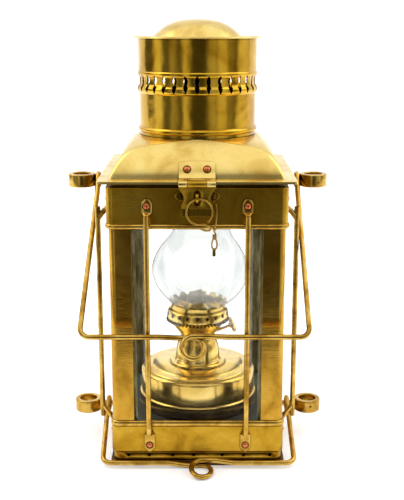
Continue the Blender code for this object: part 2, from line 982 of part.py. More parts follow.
cap_profile = cap_line(cap_foot_radius, brim_top, cap_top)
cap_profile += [(cap_brim_radius - cap_sheet / 2, brim_top), (cap_brim_radius, brim_bottom + cap_sheet / 2)]
cap_profile += [(cap_brim_radius, brim_bottom)]
cap_profile += list(reversed(cap_line(cap_foot_radius - cap_sheet, brim_bottom, cap_top - cap_sheet)))
on_hinge(turned(cap_profile, "chimney_cap", cap_sides), "chimney_cap", roof_brass)

# Rolled barrels: a strip of sheet goes round the pin; the strip's middle line keeps this radius.
roll_radius = barrel_radius - leaf_thick / 2
front_pin = (-hinge_out, barrel_height)
back_pin = (hinge_out, barrel_height)
leaf_line_height = barrel_height + roll_radius
knuckle_reach = barrel_radius + barrel_clearance


def dome_out(height):
    return dome_half((height - flange_top) / dome_rise)


def knuckle_box(x0, x1, pin):
    low = (x0, pin[0] - knuckle_reach, pin[1] - knuckle_reach)
    return box(low, (x1, pin[0] + knuckle_reach, pin[1] + knuckle_reach))


# The hasp's upper leaf: up the dome, over the flange, then round the pin in two outer barrels.
proud = gap + leaf_thick / 2
leaf_heights = [flange_top + (roof_leaf_top - flange_top) * s for s in (1.0, 0.75, 0.5)]
leaf_path = [(-(dome_out(h) + proud * 1.15), h) for h in leaf_heights]
leaf_path += [(-(dome_foot_half + 2 * proud), leaf_line_height + proud), (-(leaf_foot + 3 * proud), leaf_line_height)]
leaf_path += arc(front_pin, roll_radius, 90, 390, 12)
hasp_upper = slab(ribbon(leaf_path, leaf_thick), -roof_leaf_half, roof_leaf_half, "X", "hasp_upper_leaf")
middle_room = hasp_knuckle_half + barrel_clearance
hasp_upper = cut(hasp_upper, knuckle_box(-middle_room, middle_room, front_pin))
on_hinge(hasp_upper, "hasp_upper_leaf", roof_brass)

# Two copper rivets hold that leaf to the dome.
steep = math.atan2(dome_out(flange_top + dome_rise * 0.2) - dome_out(flange_top + dome_rise * 0.4), dome_rise * 0.2)
leaf_rivet_out = dome_out(leaf_rivet_height) + 2 * proud + gap
for side_name, x in (("left", -leaf_rivet_place), ("right", leaf_rivet_place)):
    mesh = turned(
        [
            (0, rivet_head_height),
            (rivet_head_radius * 0.62, rivet_head_height * 0.78),
            (rivet_head_radius, rivet_head_height * 0.22),
            (rivet_head_radius, 0),
            (0, 0),
        ],
        "leaf_rivet",
        10,
    )
    mesh.transform(Matrix.Rotation(math.pi / 2 - steep, 4, "X"))
    mesh.transform(Matrix.Translation((x, -leaf_rivet_out, leaf_rivet_height)))
    on_hinge(mesh, "leaf_rivet_" + side_name, copper)

# The swinging hasp: one middle barrel, a waisted leaf with a slot for the staple, and a rolled lower end.
hasp_line = -(hasp_plane)
roll_middle = (hasp_line + hasp_roll_radius - leaf_thick / 2, hasp_roll_height)
hasp_path = list(reversed(arc(front_pin, roll_radius, 0, 300, 12)))
hasp_path += [(hasp_line, barrel_height - roll_radius * 1.6)]
hasp_path += arc(roll_middle, hasp_roll_radius - leaf_thick / 2, 180, 470, 12)
hasp_leaf = slab(ribbon(hasp_path, leaf_thick), -hasp_half, hasp_half, "X", "hasp_leaf")
side_room = hasp_half + gap
waist_low = hasp_waist_height - hasp_waist_long
waist_high = hasp_waist_height + hasp_waist_long
hasp_back = -top_band_half
hasp_front = -(hinge_out + 4 * barrel_radius)
for side in (-1, 1):
    waist = [
        (side * side_room, waist_high),
        (side * (hasp_waist + (hasp_half - hasp_waist) * 0.35), hasp_waist_height + hasp_waist_long * 0.7),
        (side * hasp_waist, hasp_waist_height),
        (side * (hasp_waist + (hasp_half - hasp_waist) * 0.25), waist_low),
        (side * hasp_roll_half, waist_low - gap),
        (side * hasp_roll_half, hasp_roll_height - 2 * hasp_roll_radius),
        (side * side_room, hasp_roll_height - 2 * hasp_roll_radius),
    ]
    hasp_leaf = cut(hasp_leaf, slab(waist, hasp_front, hasp_back, "Y"))
    ends = sorted((side * (hasp_knuckle_half), side * side_room))
    low = (ends[0], hasp_front, barrel_height - knuckle_reach)
    hasp_leaf = cut(hasp_leaf, box(low, (ends[1], hasp_back, barrel_height + knuckle_reach)))
hasp_leaf = cut(hasp_leaf, box((-slot_half, hasp_front, slot_low), (slot_half, hasp_back, slot_high)))
hasp_origin = (0, -hinge_out, barrel_height)


def on_hasp(mesh, name, look):
    mesh.transform(Matrix.Translation(-Vector(hasp_origin)))
    return place(name, mesh, look, hasp_origin)


on_hasp(hasp_leaf, "hasp_leaf", brass)
pin_half = roof_leaf_half + 2 * gap
pin_ends = [((-pin_half, -hinge_out, barrel_height), (pin_half, -hinge_out, barrel_height))]
on_hasp(bars(pin_ends, pin_radius, 10), "hasp_pin", brass)

# Staple: an oval plate on the band with a thin eyed nose that stands out through the hasp's slot.
plate_front = -(top_band_half + gap + leaf_thick)
oval = []
for k in range(20):
    angle = 2 * math.pi * k / 20
    oval.append((staple_plate_half * math.cos(angle), staple_plate_height + staple_plate_tall * math.sin(angle)))
staple = slab(oval, -(top_band_half + gap), plate_front, "Y", "staple")
nose_middle = (staple_low + staple_high) / 2
nose_half = (staple_high - staple_low) / 2
eye_height = ring_middle_z + ring_radius
nose = [(plate_front + leaf_thick / 2, staple_low), (plate_front + leaf_thick / 2, staple_high)]
nose += arc((-(staple_nose - nose_half), nose_middle), nose_half, 90, 270, 8)
staple = boolean(staple, slab(nose, -staple_half, staple_half, "X"), "UNION")
eye_line = [((-base_half / 4, -ring_plane, eye_height), (base_half / 4, -ring_plane, eye_height))]
staple = cut(staple, bars(eye_line, staple_eye_radius, 10))
place("staple", staple, brass)
for side_name, x in (("left", -plate_rivet_place), ("right", plate_rivet_place)):
    place(
        "plate_rivet_" + side_name,
        turned(
            [
                (0, rivet_head_height),
                (rivet_head_radius * 0.56, rivet_head_height * 0.78),
                (rivet_head_radius * 0.9, rivet_head_height * 0.22),
                (rivet_head_radius * 0.9, 0),
                (0, 0),
            ],
            "plate_rivet",
            10,
        ),
        copper,
        (x, plate_front - gap, staple_plate_height),
        (math.pi / 2, 0, 0),
    )

# The wire ring that locks the hasp: nearly a full turn, with its end hooked back below.
ring_path = []
for k in range(21):
    angle = math.radians(-52 + 342 * k / 20)
    ring_path.append(Vector((ring_radius * math.cos(angle), 0, ring_radius * (math.sin(angle) - 1))))
last = ring_path[-1]
hook_shares = ((0.42, -0.13), (0.68, -0.30), (0.60, -0.48), (0.30, -0.50), (-0.05, -0.36))
for across, down in hook_shares:
    ring_path.append(Vector((across * ring_radius + last.x / 2, 0, last.z + down * ring_radius)))
ring_mesh = sweep(ring_path, [(ring_wire, ring_wire)] * len(ring_path), (0, 1, 0), "linch_ring", thin_sides)
place("linch_ring", ring_mesh, wire_brass, (ring_middle_x, -ring_plane, eye_height))

# The safety chain's drawn-out wire: from the plate, down past the hasp, ending in a long loop.
loop_middle = (chain_loop_top + chain_loop_bottom) / 2
loop_tall = (chain_loop_top - chain_loop_bottom) / 2
chain_seat = -plate_front + gap + chain_wire
chain_out = chain_seat - chain_plane
chain_path = [
    (chain_top_x, 0, chain_pivot),
    (chain_top_x, chain_out / 4, chain_pivot - chain_wire),
    (chain_side_x, chain_out, chain_knee - 2 * chain_wire),
    (chain_side_x, chain_out, top_bead_top + 2 * chain_wire),
    (chain_low_x, chain_out, chain_swivel),
    (chain_low_x, chain_out, chain_loop_top + 2 * chain_wire),
]
for k in range(10):
    angle = math.radians(75 - 330 * k / 9)
    across = chain_low_x + chain_loop_half * math.cos(angle)
    chain_path.append((across, chain_out, loop_middle + loop_tall * math.sin(angle)))
chain_rings = [Vector((x, y, z - chain_pivot)) for x, y, z in chain_path]
chain_mesh = sweep(chain_rings, [(chain_wire, chain_wire)] * len(chain_rings), (0, 1, 0), "safety_chain", thin_sides)
place("safety_chain", chain_mesh, dark_brass, (0, -chain_seat, chain_pivot))

# Back hinge: one leaf on the band, one on the roof, and a pin.
body_plane = top_band_half + proud
body_path = [
    (body_plane, back_leaf_bottom),
    (body_plane, top_band_top - leaf_thick),
    (body_plane + leaf_thick, barrel_height - roll_radius - leaf_thick),
]
body_path += arc(back_pin, roll_radius, -150, 120, 12)
back_body = slab(ribbon(body_path, leaf_thick), -back_leaf_half, back_leaf_half, "X", "hinge_body_leaf")
room = back_knuckle_half + barrel_clearance
tall = 2 * knuckle_reach
notch_low = (-room, hinge_out - tall, barrel_height - tall)
back_body = cut(back_body, box(notch_low, (room, hinge_out + tall, barrel_height + tall)))
place("hinge_body_leaf", back_body, brass)
roof_path = [
    (dome_foot_half + 2 * proud, leaf_line_height),
    (flange_half - proud, leaf_line_height),
]
roof_path += arc(back_pin, roll_radius, 90, -210, 12)
back_roof = slab(ribbon(roof_path, leaf_thick), -back_leaf_half, back_leaf_half, "X", "hinge_roof_leaf")
for side in (-1, 1):
    ends = sorted((side * back_knuckle_half, side * (back_leaf_half + gap)))
    low = (ends[0], back_pin[0] - knuckle_reach, back_pin[1] - knuckle_reach)
    back_roof = cut(back_roof, box(low, (ends[1], back_pin[0] + knuckle_reach, back_pin[1] + knuckle_reach)))
on_hinge(back_roof, "hinge_roof_leaf", brass)
back_pin_half = back_leaf_half + 2 * gap
back_ends = [((-back_pin_half, hinge_out, barrel_height), (back_pin_half, hinge_out, barrel_height))]
on_hinge(bars(back_ends, pin_radius, 10), "hinge_pin", brass)

# Oil font: a hollow drum with a crimped foot and a stepped top, open at its mouth.
lamp_foot = font_edge_height
font_profile = [
    (0, lamp_foot),
    (font_edge_radius, lamp_foot),
    (font_edge_radius, lamp_foot + 2 * font_sheet),
    (font_radius, lamp_foot + 3 * font_sheet),
    (font_radius, font_shoulder),
    (font_step_radius, font_step_height),
    (font_disc_radius, font_top),
    (font_mouth_radius, font_top),
    (font_mouth_radius, font_top - font_sheet),
    (font_disc_radius - font_sheet, font_top - font_sheet),
    (font_step_radius - font_sheet, font_step_height - font_sheet),
    (font_radius - font_sheet, font_shoulder - font_sheet),
    (font_radius - font_sheet, lamp_foot + font_sheet),
    (0, lamp_foot + font_sheet),
]
lamp_origin = Vector((0, 0, lamp_foot))


def on_lamp(mesh, name, look):
    mesh.transform(Matrix.Translation(-lamp_origin))
    return place(name, mesh, look, lamp_origin)


on_lamp(turned(font_profile, "oil_font"), "oil_font", brass)

# Burner: a collar on the font, a waisted neck, the flared basket with its gallery, and a low draught dome.
burner_foot = font_top + gap
draught_hole_radius = math.hypot(wick_half_width, wick_half_thick) + gap
burner_profile = [
    (collar_radius, burner_foot),
    (collar_radius, collar_top),
    (neck_foot_radius, collar_top + burner_sheet),
    (neck_low_radius, neck_low_height),
    (neck_radius, neck_height),
    (basket_foot_radius, basket_foot_height),
    (basket_radius, basket_height),
    (gallery_radius, gallery_height),
    (crown_radius, crown_top),
    (crown_radius - burner_sheet, crown_top),
    (gallery_radius - burner_sheet * 2, gallery_height),
    (draught_dome_radius, gallery_height),
    (draught_hole_radius, draught_dome_top),
    (draught_hole_radius, draught_dome_top - burner_sheet),
    (draught_dome_radius - burner_sheet, gallery_height - burner_sheet),
    (gallery_radius - burner_sheet, gallery_height - burner_sheet),
    (basket_radius - burner_sheet, basket_height),
    (basket_foot_radius - burner_sheet, basket_foot_height + burner_sheet),
    (neck_radius - burner_sheet, neck_height),
    (neck_low_radius - burner_sheet, neck_low_height - burner_sheet),
    (neck_foot_radius - burner_sheet, burner_foot),
]
tilt = math.radians(spindle_tilt_deg)
spindle_way = Vector((math.cos(tilt), 0, math.sin(tilt)))
spindle_cross = Vector((spindle_cross_x, spindle_plane, spindle_cross_z))
bore_inner = spindle_cross - spindle_way * (neck_radius / 2)
bore_outer = spindle_cross + spindle_way * (basket_radius / 2)
burner = cut(turned(burner_profile, "burner", 24), bars([(bore_inner, bore_outer)], spindle_radius + gap, 10))
on_lamp(burner, "burner", brass)

# The wick wheel: a slanting spindle, a small toothed wheel inside and a milled wheel outside.
wheel_line = [
    (0, -spindle_inner),
    (spindle_radius, -spindle_inner),
    (spindle_radius, -wheel_tooth_place - wheel_tooth_half),
    (wheel_tooth_radius, -wheel_tooth_place - wheel_tooth_half),
    (wheel_tooth_radius, -wheel_tooth_place + wheel_tooth_half),
    (spindle_radius, -wheel_tooth_place + wheel_tooth_half),
    (spindle_radius, spindle_outer),
    (wheel_radius - wheel_half_thick / 2, spindle_outer),
    (wheel_radius, spindle_outer + wheel_half_thick / 2),
    (wheel_radius, spindle_outer + wheel_half_thick * 1.5),
    (wheel_radius - wheel_half_thick / 2, spindle_outer + wheel_half_thick * 2),
    (0, spindle_outer + wheel_half_thick * 2),
]
wheel_mesh = turned(wheel_line, "wick_wheel", 16)
place("wick_wheel", wheel_mesh, brass, spindle_cross, (0, math.pi / 2 - tilt, 0))

# Flat wick.
wick_mesh = box(
    (-wick_half_width, -wick_half_thick, wick_bottom), (wick_half_width, wick_half_thick, wick_top), "wick"
)
on_lamp(wick_mesh, "wick", cotton)

# Glass chimney: a bulged tube, leaning slightly in its crown as it stands on the gallery.
glass_points = [
    (glass_foot_radius, glass_foot_height),
    (glass_waist_radius, glass_foot_height + (glass_bulb_height - glass_foot_height) * 0.16),
]
for share in (0.3, 0.45, 0.62, 0.8, 1.0):
    height = glass_foot_height + (glass_bulb_height - glass_foot_height) * share
    swell = math.sin((share - 0.16) / 0.84 * math.pi / 2)
    glass_points.append((glass_waist_radius + (glass_bulb_radius - glass_waist_radius) * swell, height))
for share in (0.25, 0.5, 0.75, 1.0):
    height = glass_bulb_height + (glass_neck_height - glass_bulb_height) * share
    fall = (1 + math.cos(share * math.pi)) / 2
    glass_points.append((glass_neck_radius + (glass_bulb_radius - glass_neck_radius) * fall, height))
glass_points.append((glass_tube_radius, glass_tube_height))
glass_points.append((glass_tube_radius, glass_top))
inner_points = [(radius - glass_wall, height) for radius, height in reversed(glass_points)]
glass_mesh = turned(glass_points + inner_points, "lamp_glass")
glass_origin = Vector((glass_shift, 0, glass_foot_height))
glass_mesh.transform(Matrix.Translation(-Vector((0, 0, glass_foot_height))))
place("lamp_glass", glass_mesh, lamp_glass_look, glass_origin, (0, math.radians(glass_lean_deg), 0))
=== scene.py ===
import math
import random

import bmesh
import bpy
from mathutils import Matrix, Vector


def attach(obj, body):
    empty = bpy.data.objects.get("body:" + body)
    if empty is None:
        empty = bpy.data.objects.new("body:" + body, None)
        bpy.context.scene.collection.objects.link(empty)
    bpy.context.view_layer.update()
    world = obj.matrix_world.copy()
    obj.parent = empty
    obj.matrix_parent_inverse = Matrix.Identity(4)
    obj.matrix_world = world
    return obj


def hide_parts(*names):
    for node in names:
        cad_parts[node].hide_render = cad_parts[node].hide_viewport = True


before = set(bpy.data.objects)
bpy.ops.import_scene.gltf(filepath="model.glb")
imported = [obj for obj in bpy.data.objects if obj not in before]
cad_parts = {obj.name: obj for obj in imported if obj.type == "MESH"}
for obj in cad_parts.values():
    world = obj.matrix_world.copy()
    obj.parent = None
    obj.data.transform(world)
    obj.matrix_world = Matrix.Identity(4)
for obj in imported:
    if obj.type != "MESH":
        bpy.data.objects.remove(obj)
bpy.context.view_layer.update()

# Camera: at the photograph's angle, a little to the right of the middle and looking down.
cameraPlace = {
    "x": 0.0042, "y": -0.8846, "z": 0.4011, "pitchDown": 13.64, "focalPixels": 943.8, "longSide": 500,
}
cameraData = bpy.data.cameras.new("camera")
cameraData.sensor_width = 36
cameraData.lens = cameraPlace["focalPixels"] / cameraPlace["longSide"] * 36
cameraObject = bpy.data.objects.new("camera", cameraData)
cameraObject.location = (cameraPlace["x"], cameraPlace["y"], cameraPlace["z"])
cameraObject.rotation_euler = (math.radians(90 - cameraPlace["pitchDown"]), 0, 0)
bpy.context.scene.collection.objects.link(cameraObject)
bpy.context.scene.camera = cameraObject
print("camera set")


def linear(hexColour):
    values = [int(hexColour[i : i + 2], 16) / 255 for i in (1, 3, 5)]
    return [v / 12.92 if v <= 0.04045 else ((v + 0.055) / 1.055) ** 2.4 for v in values] + [1.0]


def feed(tree, node, inputs):
    # each input gets a link or a plain value
    for key, value in inputs.items():
        if isinstance(value, bpy.types.NodeSocket):
            tree.links.new(value, node.inputs[key])
        else:
            node.inputs[key].default_value = value


def addNode(tree, kind, inputs=None, **settings):
    node = tree.nodes.new(kind)
    for key, value in settings.items():
        setattr(node, key, value)
    feed(tree, node, inputs or {})
    return node


# Studio: two soft boxes above, and upright soft boxes round a darker room.
# The upright ones are drawn into the surroundings: angles as seen from the lantern, 0 towards the camera,
# each with its brightness.
studio = {
    "over": 1.2, "overFrom": 0.45, "overFull": 0.8, "backdrop": 1.0, "backFrom": 0.5, "backFull": 0.88,
    "colour": (1, 0.995, 0.985, 1), "aim": (0, 0, 0.1), "side": 1.4,
    # place and power of the two boxes above
    "left": ((-1.3, 0.25, 1.2), 9), "right": ((1.3, 0.1, 1.2), 7),
    "boxes": (
        (-180, 0.22), (-130, 0.10), (-97, 0.12), (-88, 0.95), (-76, 0.95), (-68, 0.16), (-58, 0.12),
        (-51, 0.42), (-43, 0.40), (-37, 0.14), (-30, 0.14), (-26, 0.85), (-19, 0.80), (-11, 0.07),
        (16, 0.07), (23, 0.48), (33, 0.60), (37, 0.36), (42, 0.80), (58, 0.80), (63, 0.34), (72, 0.34),
        (80, 0.10), (88, 0.90), (114, 0.90), (126, 0.12), (180, 0.22),
    ),
}


def makeWorld():
    bpy.context.scene.view_settings.view_transform = "Standard"
    world = bpy.data.worlds.new("studio room")
    bpy.context.scene.world = world
    world.use_nodes = True
    tree = world.node_tree
    tree.nodes.clear()
    way = addNode(tree, "ShaderNodeTexCoord")
    parts = addNode(tree, "ShaderNodeSeparateXYZ", {0: way.outputs["Generated"]})
    ahead = addNode(tree, "ShaderNodeMath", {0: parts.outputs["Y"], 1: -1.0}, operation="MULTIPLY")
    compass = addNode(
        tree, "ShaderNodeMath", {0: parts.outputs["X"], 1: ahead.outputs[0]}, operation="ARCTAN2",
    )
    share = addNode(tree, "ShaderNodeMapRange", {0: compass.outputs[0], 1: -math.pi, 2: math.pi})
    boxes = addNode(tree, "ShaderNodeValToRGB", {0: share.outputs[0]})
    ramp = boxes.color_ramp
    stops = studio["boxes"]
    for k, (angle, value) in enumerate(stops):
        place = angle / 360 + 0.5
        if k == 0:
            stop = ramp.elements[0]
        elif k == len(stops) - 1:
            stop = ramp.elements[-1]
        else:
            stop = ramp.elements.new(place)
        stop.position = place
        stop.color = (value, value, value, 1)
    high = addNode(
        tree, "ShaderNodeMapRange",
        {0: parts.outputs["Z"], 1: studio["overFrom"], 2: studio["overFull"], 3: 0.0, 4: 1.0},
        interpolation_type="SMOOTHSTEP",
    )
    room = addNode(
        tree, "ShaderNodeMix", {0: high.outputs[0], 2: boxes.outputs[0], 3: studio["over"]},
        data_type="FLOAT",
    )
    seen = addNode(tree, "ShaderNodeLightPath")
    behind = addNode(
        tree, "ShaderNodeMapRange", {0: parts.outputs["Y"], 1: studio["backFrom"], 2: studio["backFull"]},
        interpolation_type="SMOOTHSTEP",
    )
    through = addNode(
        tree, "ShaderNodeMath", {0: seen.outputs["Is Transmission Ray"], 1: behind.outputs[0]},
        operation="MULTIPLY",
    )
    direct = addNode(
        tree, "ShaderNodeMath", {0: seen.outputs["Is Camera Ray"], 1: through.outputs[0]},
        operation="MAXIMUM",
    )
    strength = addNode(
        tree, "ShaderNodeMix", {0: direct.outputs[0], 2: room.outputs[0], 3: studio["backdrop"]},
        data_type="FLOAT",
    )
    light = addNode(
        tree, "ShaderNodeBackground", {"Color": studio["colour"], "Strength": strength.outputs[0]},
    )
    addNode(tree, "ShaderNodeOutputWorld", {0: light.outputs[0]})


def softBox(name, place, power):
    data = bpy.data.lights.new(name, "AREA")
    data.shape = "RECTANGLE"
    data.size = studio["side"]
    data.size_y = studio["side"]
    data.energy = power
    light = bpy.data.objects.new(name, data)
    light.location = place
    light.rotation_euler = (Vector(studio["aim"]) - Vector(place)).to_track_quat("-Z", "Y").to_euler()
    bpy.context.scene.collection.objects.link(light)


makeWorld()
softBox("left soft box", *studio["left"])
softBox("right soft box", *studio["right"])
print("studio lit")


def newMaterial(name):
    made = bpy.data.materials.new(name)
    made.use_nodes = True
    return made, made.node_tree, made.node_tree.nodes["Principled BSDF"]


def brassMaterial(name, look):
    # Rolled or drawn brass, rubbed by hand and lacquer free: broad cloudy tarnish, finer brown freckles,
    # and hairlines along the direction it was rubbed, which break up its reflections. Creases and contacts
    # are darkened with painted shade.
    made, tree, shader = newMaterial(name)
    where = addNode(tree, "ShaderNodeTexCoord").outputs["Object"]
    cloud = addNode(
        tree, "ShaderNodeTexNoise",
        {"Vector": where, "Scale": 1 / look["cloud"], "Detail": 4.0, "Roughness": 0.55, "Distortion": 0.6},
    )
    freckle = addNode(
        tree, "ShaderNodeTexNoise",
        {"Vector": where, "Scale": 1 / look["freckle"], "Detail": 6.0, "Roughness": 0.7},
    )
    tones = addNode(tree, "ShaderNodeValToRGB", {0: cloud.outputs[0]})
    ramp = tones.color_ramp
    ramp.elements[0].position = 0.3
    ramp.elements[0].color = linear(look["deep"])
    ramp.elements[1].position = 0.72
    ramp.elements[1].color = linear(look["light"])
    middle = ramp.elements.new(0.5)
    middle.color = linear(look["middle"])
    spots = addNode(
        tree, "ShaderNodeMapRange", {0: freckle.outputs[0], 1: 0.56, 2: 0.72, 3: 0.0, 4: look["spots"]},
    )
    stained = addNode(
        tree, "ShaderNodeMix", {0: spots.outputs[0], 6: tones.outputs[0], 7: linear(look["stain"])},
        data_type="RGBA",
    )
    # painted shade: the colour darkens towards a dark brown wherever ambient occlusion finds other surfaces
    # close by, in creases and where parts meet
    crevice = addNode(tree, "ShaderNodeAmbientOcclusion", {"Distance": look["crevice"]}, samples=6)
    clear = addNode(tree, "ShaderNodeMapRange", {0: crevice.outputs["AO"], 1: 0.35, 2: 0.85})
    creviceShaded = addNode(
        tree, "ShaderNodeMix", {0: clear.outputs[0], 6: linear(look["creviceShade"]), 7: stained.outputs[2]},
        data_type="RGBA",
    )
    stretched = addNode(tree, "ShaderNodeMapping", {0: where, 3: look["grain"]})
    hairlines = addNode(
        tree, "ShaderNodeTexNoise",
        {"Vector": stretched.outputs[0], "Scale": 1.0, "Detail": 3.0, "Roughness": 0.6},
    )
    worn = addNode(
        tree, "ShaderNodeMath",
        {0: cloud.outputs[0], 1: -look["roughVary"], 2: look["rough"] + look["roughVary"] * 0.5},
        operation="MULTIPLY_ADD",
    )
    hair = addNode(
        tree, "ShaderNodeMath", {0: hairlines.outputs[0], 1: 0.12, 2: worn.outputs[0]},
        operation="MULTIPLY_ADD",
    )
    dents = addNode(tree, "ShaderNodeTexNoise", {"Vector": where, "Scale": 1 / look["dent"], "Detail": 1.0})
    waves = addNode(
        tree, "ShaderNodeBump",
        {"Strength": look["dentStrength"], "Distance": 0.001, "Height": dents.outputs[0]},
    )
    fine = addNode(
        tree, "ShaderNodeBump",
        {
            "Strength": look["hairStrength"], "Distance": 0.0002, "Height": hairlines.outputs[0],
            "Normal": waves.outputs[0],
        },
    )
    feed(
        tree, shader,
        {
            "Base Color": creviceShaded.outputs[2], "Metallic": 1.0, "Roughness": hair.outputs[0],
            "Normal": fine.outputs[0],
        },
    )
    return made


sheetBrass = {
    "deep": "#8f6714", "middle": "#b68c25", "light": "#cba33a", "stain": "#5a3a0c", "cloud": 0.035,
    "freckle": 0.0035, "spots": 0.30,
    # the dark brown after the crevice distance is the painted shade colour for creases and contacts
    "crevice": 0.003, "creviceShade": "#2c1d07", "rough": 0.24, "roughVary": 0.16, "grain": (60, 60, 1500),
    "dent": 0.022, "dentStrength": 0.30, "hairStrength": 0.10,
}
roofBrass = dict(
    sheetBrass, deep="#d0aa52", middle="#e8ca74", light="#f0d888", stain="#a87c2c", spots=0.22, rough=0.21,
    roughVary=0.12, dentStrength=0.25,
)
drumBrass = dict(
    sheetBrass, deep="#ab7c16", middle="#cda02c", light="#dbb03c", stain="#6b470f", spots=0.25, rough=0.09,
    roughVary=0.08, dent=0.016, dentStrength=0.45,
)
wireBrassLook = dict(
    sheetBrass, deep="#946d22", middle="#c49b42", light="#dfbd66", stain="#4a3214", spots=0.4, cloud=0.018,
    rough=0.17, grain=(300, 300, 300), dentStrength=0.12,
)
postBrassLook = dict(
    sheetBrass, deep="#94691a", middle="#bd9032", light="#cfa546", spots=0.25, grain=(70, 70, 900),
    rough=0.14, roughVary=0.10, hairStrength=0.35,
)
lampBrassLook = dict(
    sheetBrass, deep="#d0a54a", middle="#e8c668", light="#f2d684", stain="#6b4a14", spots=0.2, rough=0.13,
    roughVary=0.1, dent=0.02, dentStrength=0.3,
)
# dark brown brass: tarnish on the parts that wear it, and painted shade in the dark discs under the rivet
# heads
tarnishAndShadeLook = dict(sheetBrass, deep="#3a2a0d", middle="#5f4619", light="#86692a", spots=0.6, rough=0.38)

agedSheet = brassMaterial("rubbed sheet brass", sheetBrass)
roofSheet = brassMaterial("polished spun roof brass", roofBrass)
drumSheet = brassMaterial("polished rolled drum brass", drumBrass)
wireBrass = brassMaterial("drawn brass wire", wireBrassLook)
postSheet = brassMaterial("rubbed post brass", postBrassLook)
lampBrass = brassMaterial("spun lamp brass", lampBrassLook)
tarnishAndShadeBrass = brassMaterial("brown tarnished brass and painted shade", tarnishAndShadeLook)


def copperMaterial():
    # Set copper rivets, rubbed bright on the crown: orange with darker clouds.
    made, tree, shader = newMaterial("bright copper rivet")
    where = addNode(tree, "ShaderNodeTexCoord").outputs["Object"]
    cloud = addNode(tree, "ShaderNodeTexNoise", {"Vector": where, "Scale": 900.0, "Detail": 3.0})
    tone = addNode(
        tree, "ShaderNodeMix", {0: cloud.outputs[0], 6: linear("#b4501f"), 7: linear("#f0905a")},
        data_type="RGBA",
    )
    feed(tree, shader, {"Base Color": tone.outputs[2], "Metallic": 0.85, "Roughness": 0.26})
    return made


def tarnishMaterial():
    # Unpolished brass channel gone grey green: matt, with streaks of brown and paler verdigris.
    made, tree, shader = newMaterial("grey green tarnished channel")
    where = addNode(tree, "ShaderNodeTexCoord").outputs["Object"]
    drawn = addNode(tree, "ShaderNodeMapping", {0: where, 3: (260, 260, 34)})
    streaks = addNode(
        tree, "ShaderNodeTexNoise",
        {"Vector": drawn.outputs[0], "Scale": 1.0, "Detail": 6.0, "Roughness": 0.65},
    )
    tones = addNode(tree, "ShaderNodeValToRGB", {0: streaks.outputs[0]})
    tones.color_ramp.elements[0].position = 0.33
    tones.color_ramp.elements[0].color = linear("#3f391c")
    tones.color_ramp.elements[1].position = 0.68
    tones.color_ramp.elements[1].color = linear("#b9b38c")
    between = tones.color_ramp.elements.new(0.5)
    between.color = linear("#857b4c")
    bump = addNode(
        tree, "ShaderNodeBump", {"Strength": 0.3, "Distance": 0.0004, "Height": streaks.outputs[0]},
    )
    feed(
        tree, shader,
        {"Base Color": tones.outputs[0], "Metallic": 0.55, "Roughness": 0.5, "Normal": bump.outputs[0]},
    )
    return made


def glassMaterial(name, colour, alpha, rough, wave):
    # Clear blown or drawn glass: seen mostly at its edges and where it mirrors the soft boxes.
    made, tree, shader = newMaterial(name)
    feed(
        tree, shader,
        {
            "Base Color": linear(colour), "Transmission Weight": 1.0, "Roughness": rough, "IOR": 1.47,
            "Alpha": alpha,
        },
    )
    where = addNode(tree, "ShaderNodeTexCoord").outputs["Object"]
    ripple = addNode(tree, "ShaderNodeTexNoise", {"Vector": where, "Scale": 28.0, "Detail": 1.0})
    bump = addNode(
        tree, "ShaderNodeBump", {"Strength": wave, "Distance": 0.001, "Height": ripple.outputs[0]},
    )
    feed(tree, shader, {"Normal": bump.outputs[0]})
    return made


def wickMaterial():
    # Woven flat cotton, cream, painted paler than the cotton as painted light for the light that the lamp
    # glass keeps off it: slanting bands of weave, drawn as coarse as they show.
    made, tree, shader = newMaterial("woven cotton wick")
    where = addNode(tree, "ShaderNodeTexCoord").outputs["Object"]
    weave = addNode(
        tree, "ShaderNodeTexWave", {"Vector": where, "Scale": 350.0, "Distortion": 1.5, "Detail": 2.0},
        bands_direction="DIAGONAL",
    )
    fuzz = addNode(tree, "ShaderNodeTexNoise", {"Vector": where, "Scale": 500.0, "Detail": 4.0})
    # both tones are lightened as painted light, standing in for light that the lamp glass holds back
    tone = addNode(
        tree, "ShaderNodeMix", {0: weave.outputs[1], 6: linear("#c9b69c"), 7: linear("#f1e5d3")},
        data_type="RGBA",
    )
    bump = addNode(tree, "ShaderNodeBump", {"Strength": 0.6, "Distance": 0.0004, "Height": fuzz.outputs[0]})
    feed(tree, shader, {"Base Color": tone.outputs[2], "Roughness": 0.95, "Normal": bump.outputs[0]})
    return made


def floorPatinaMaterial():
    # The case's inner floor: dull brown brass, with teal verdigris gathered in its corners.
    made, tree, shader = newMaterial("dull floor with verdigris")
    where = addNode(tree, "ShaderNodeTexCoord").outputs["Object"]
    far = addNode(tree, "ShaderNodeVectorMath", {0: where}, operation="LENGTH")
    noise = addNode(tree, "ShaderNodeTexNoise", {"Vector": where, "Scale": 90.0, "Detail": 5.0})
    edge = addNode(tree, "ShaderNodeMapRange", {0: far.outputs["Value"], 1: 0.07, 2: 0.105, 3: 0.0, 4: 1.0})
    amount = addNode(
        tree, "ShaderNodeMath", {0: edge.outputs[0], 1: noise.outputs[0]}, operation="MULTIPLY",
    )
    tone = addNode(
        tree, "ShaderNodeMix", {0: amount.outputs[0], 6: linear("#4c4636"), 7: linear("#8fb3a6")},
        data_type="RGBA",
    )
    feed(tree, shader, {"Base Color": tone.outputs[2], "Metallic": 0.3, "Roughness": 0.6})
    return made


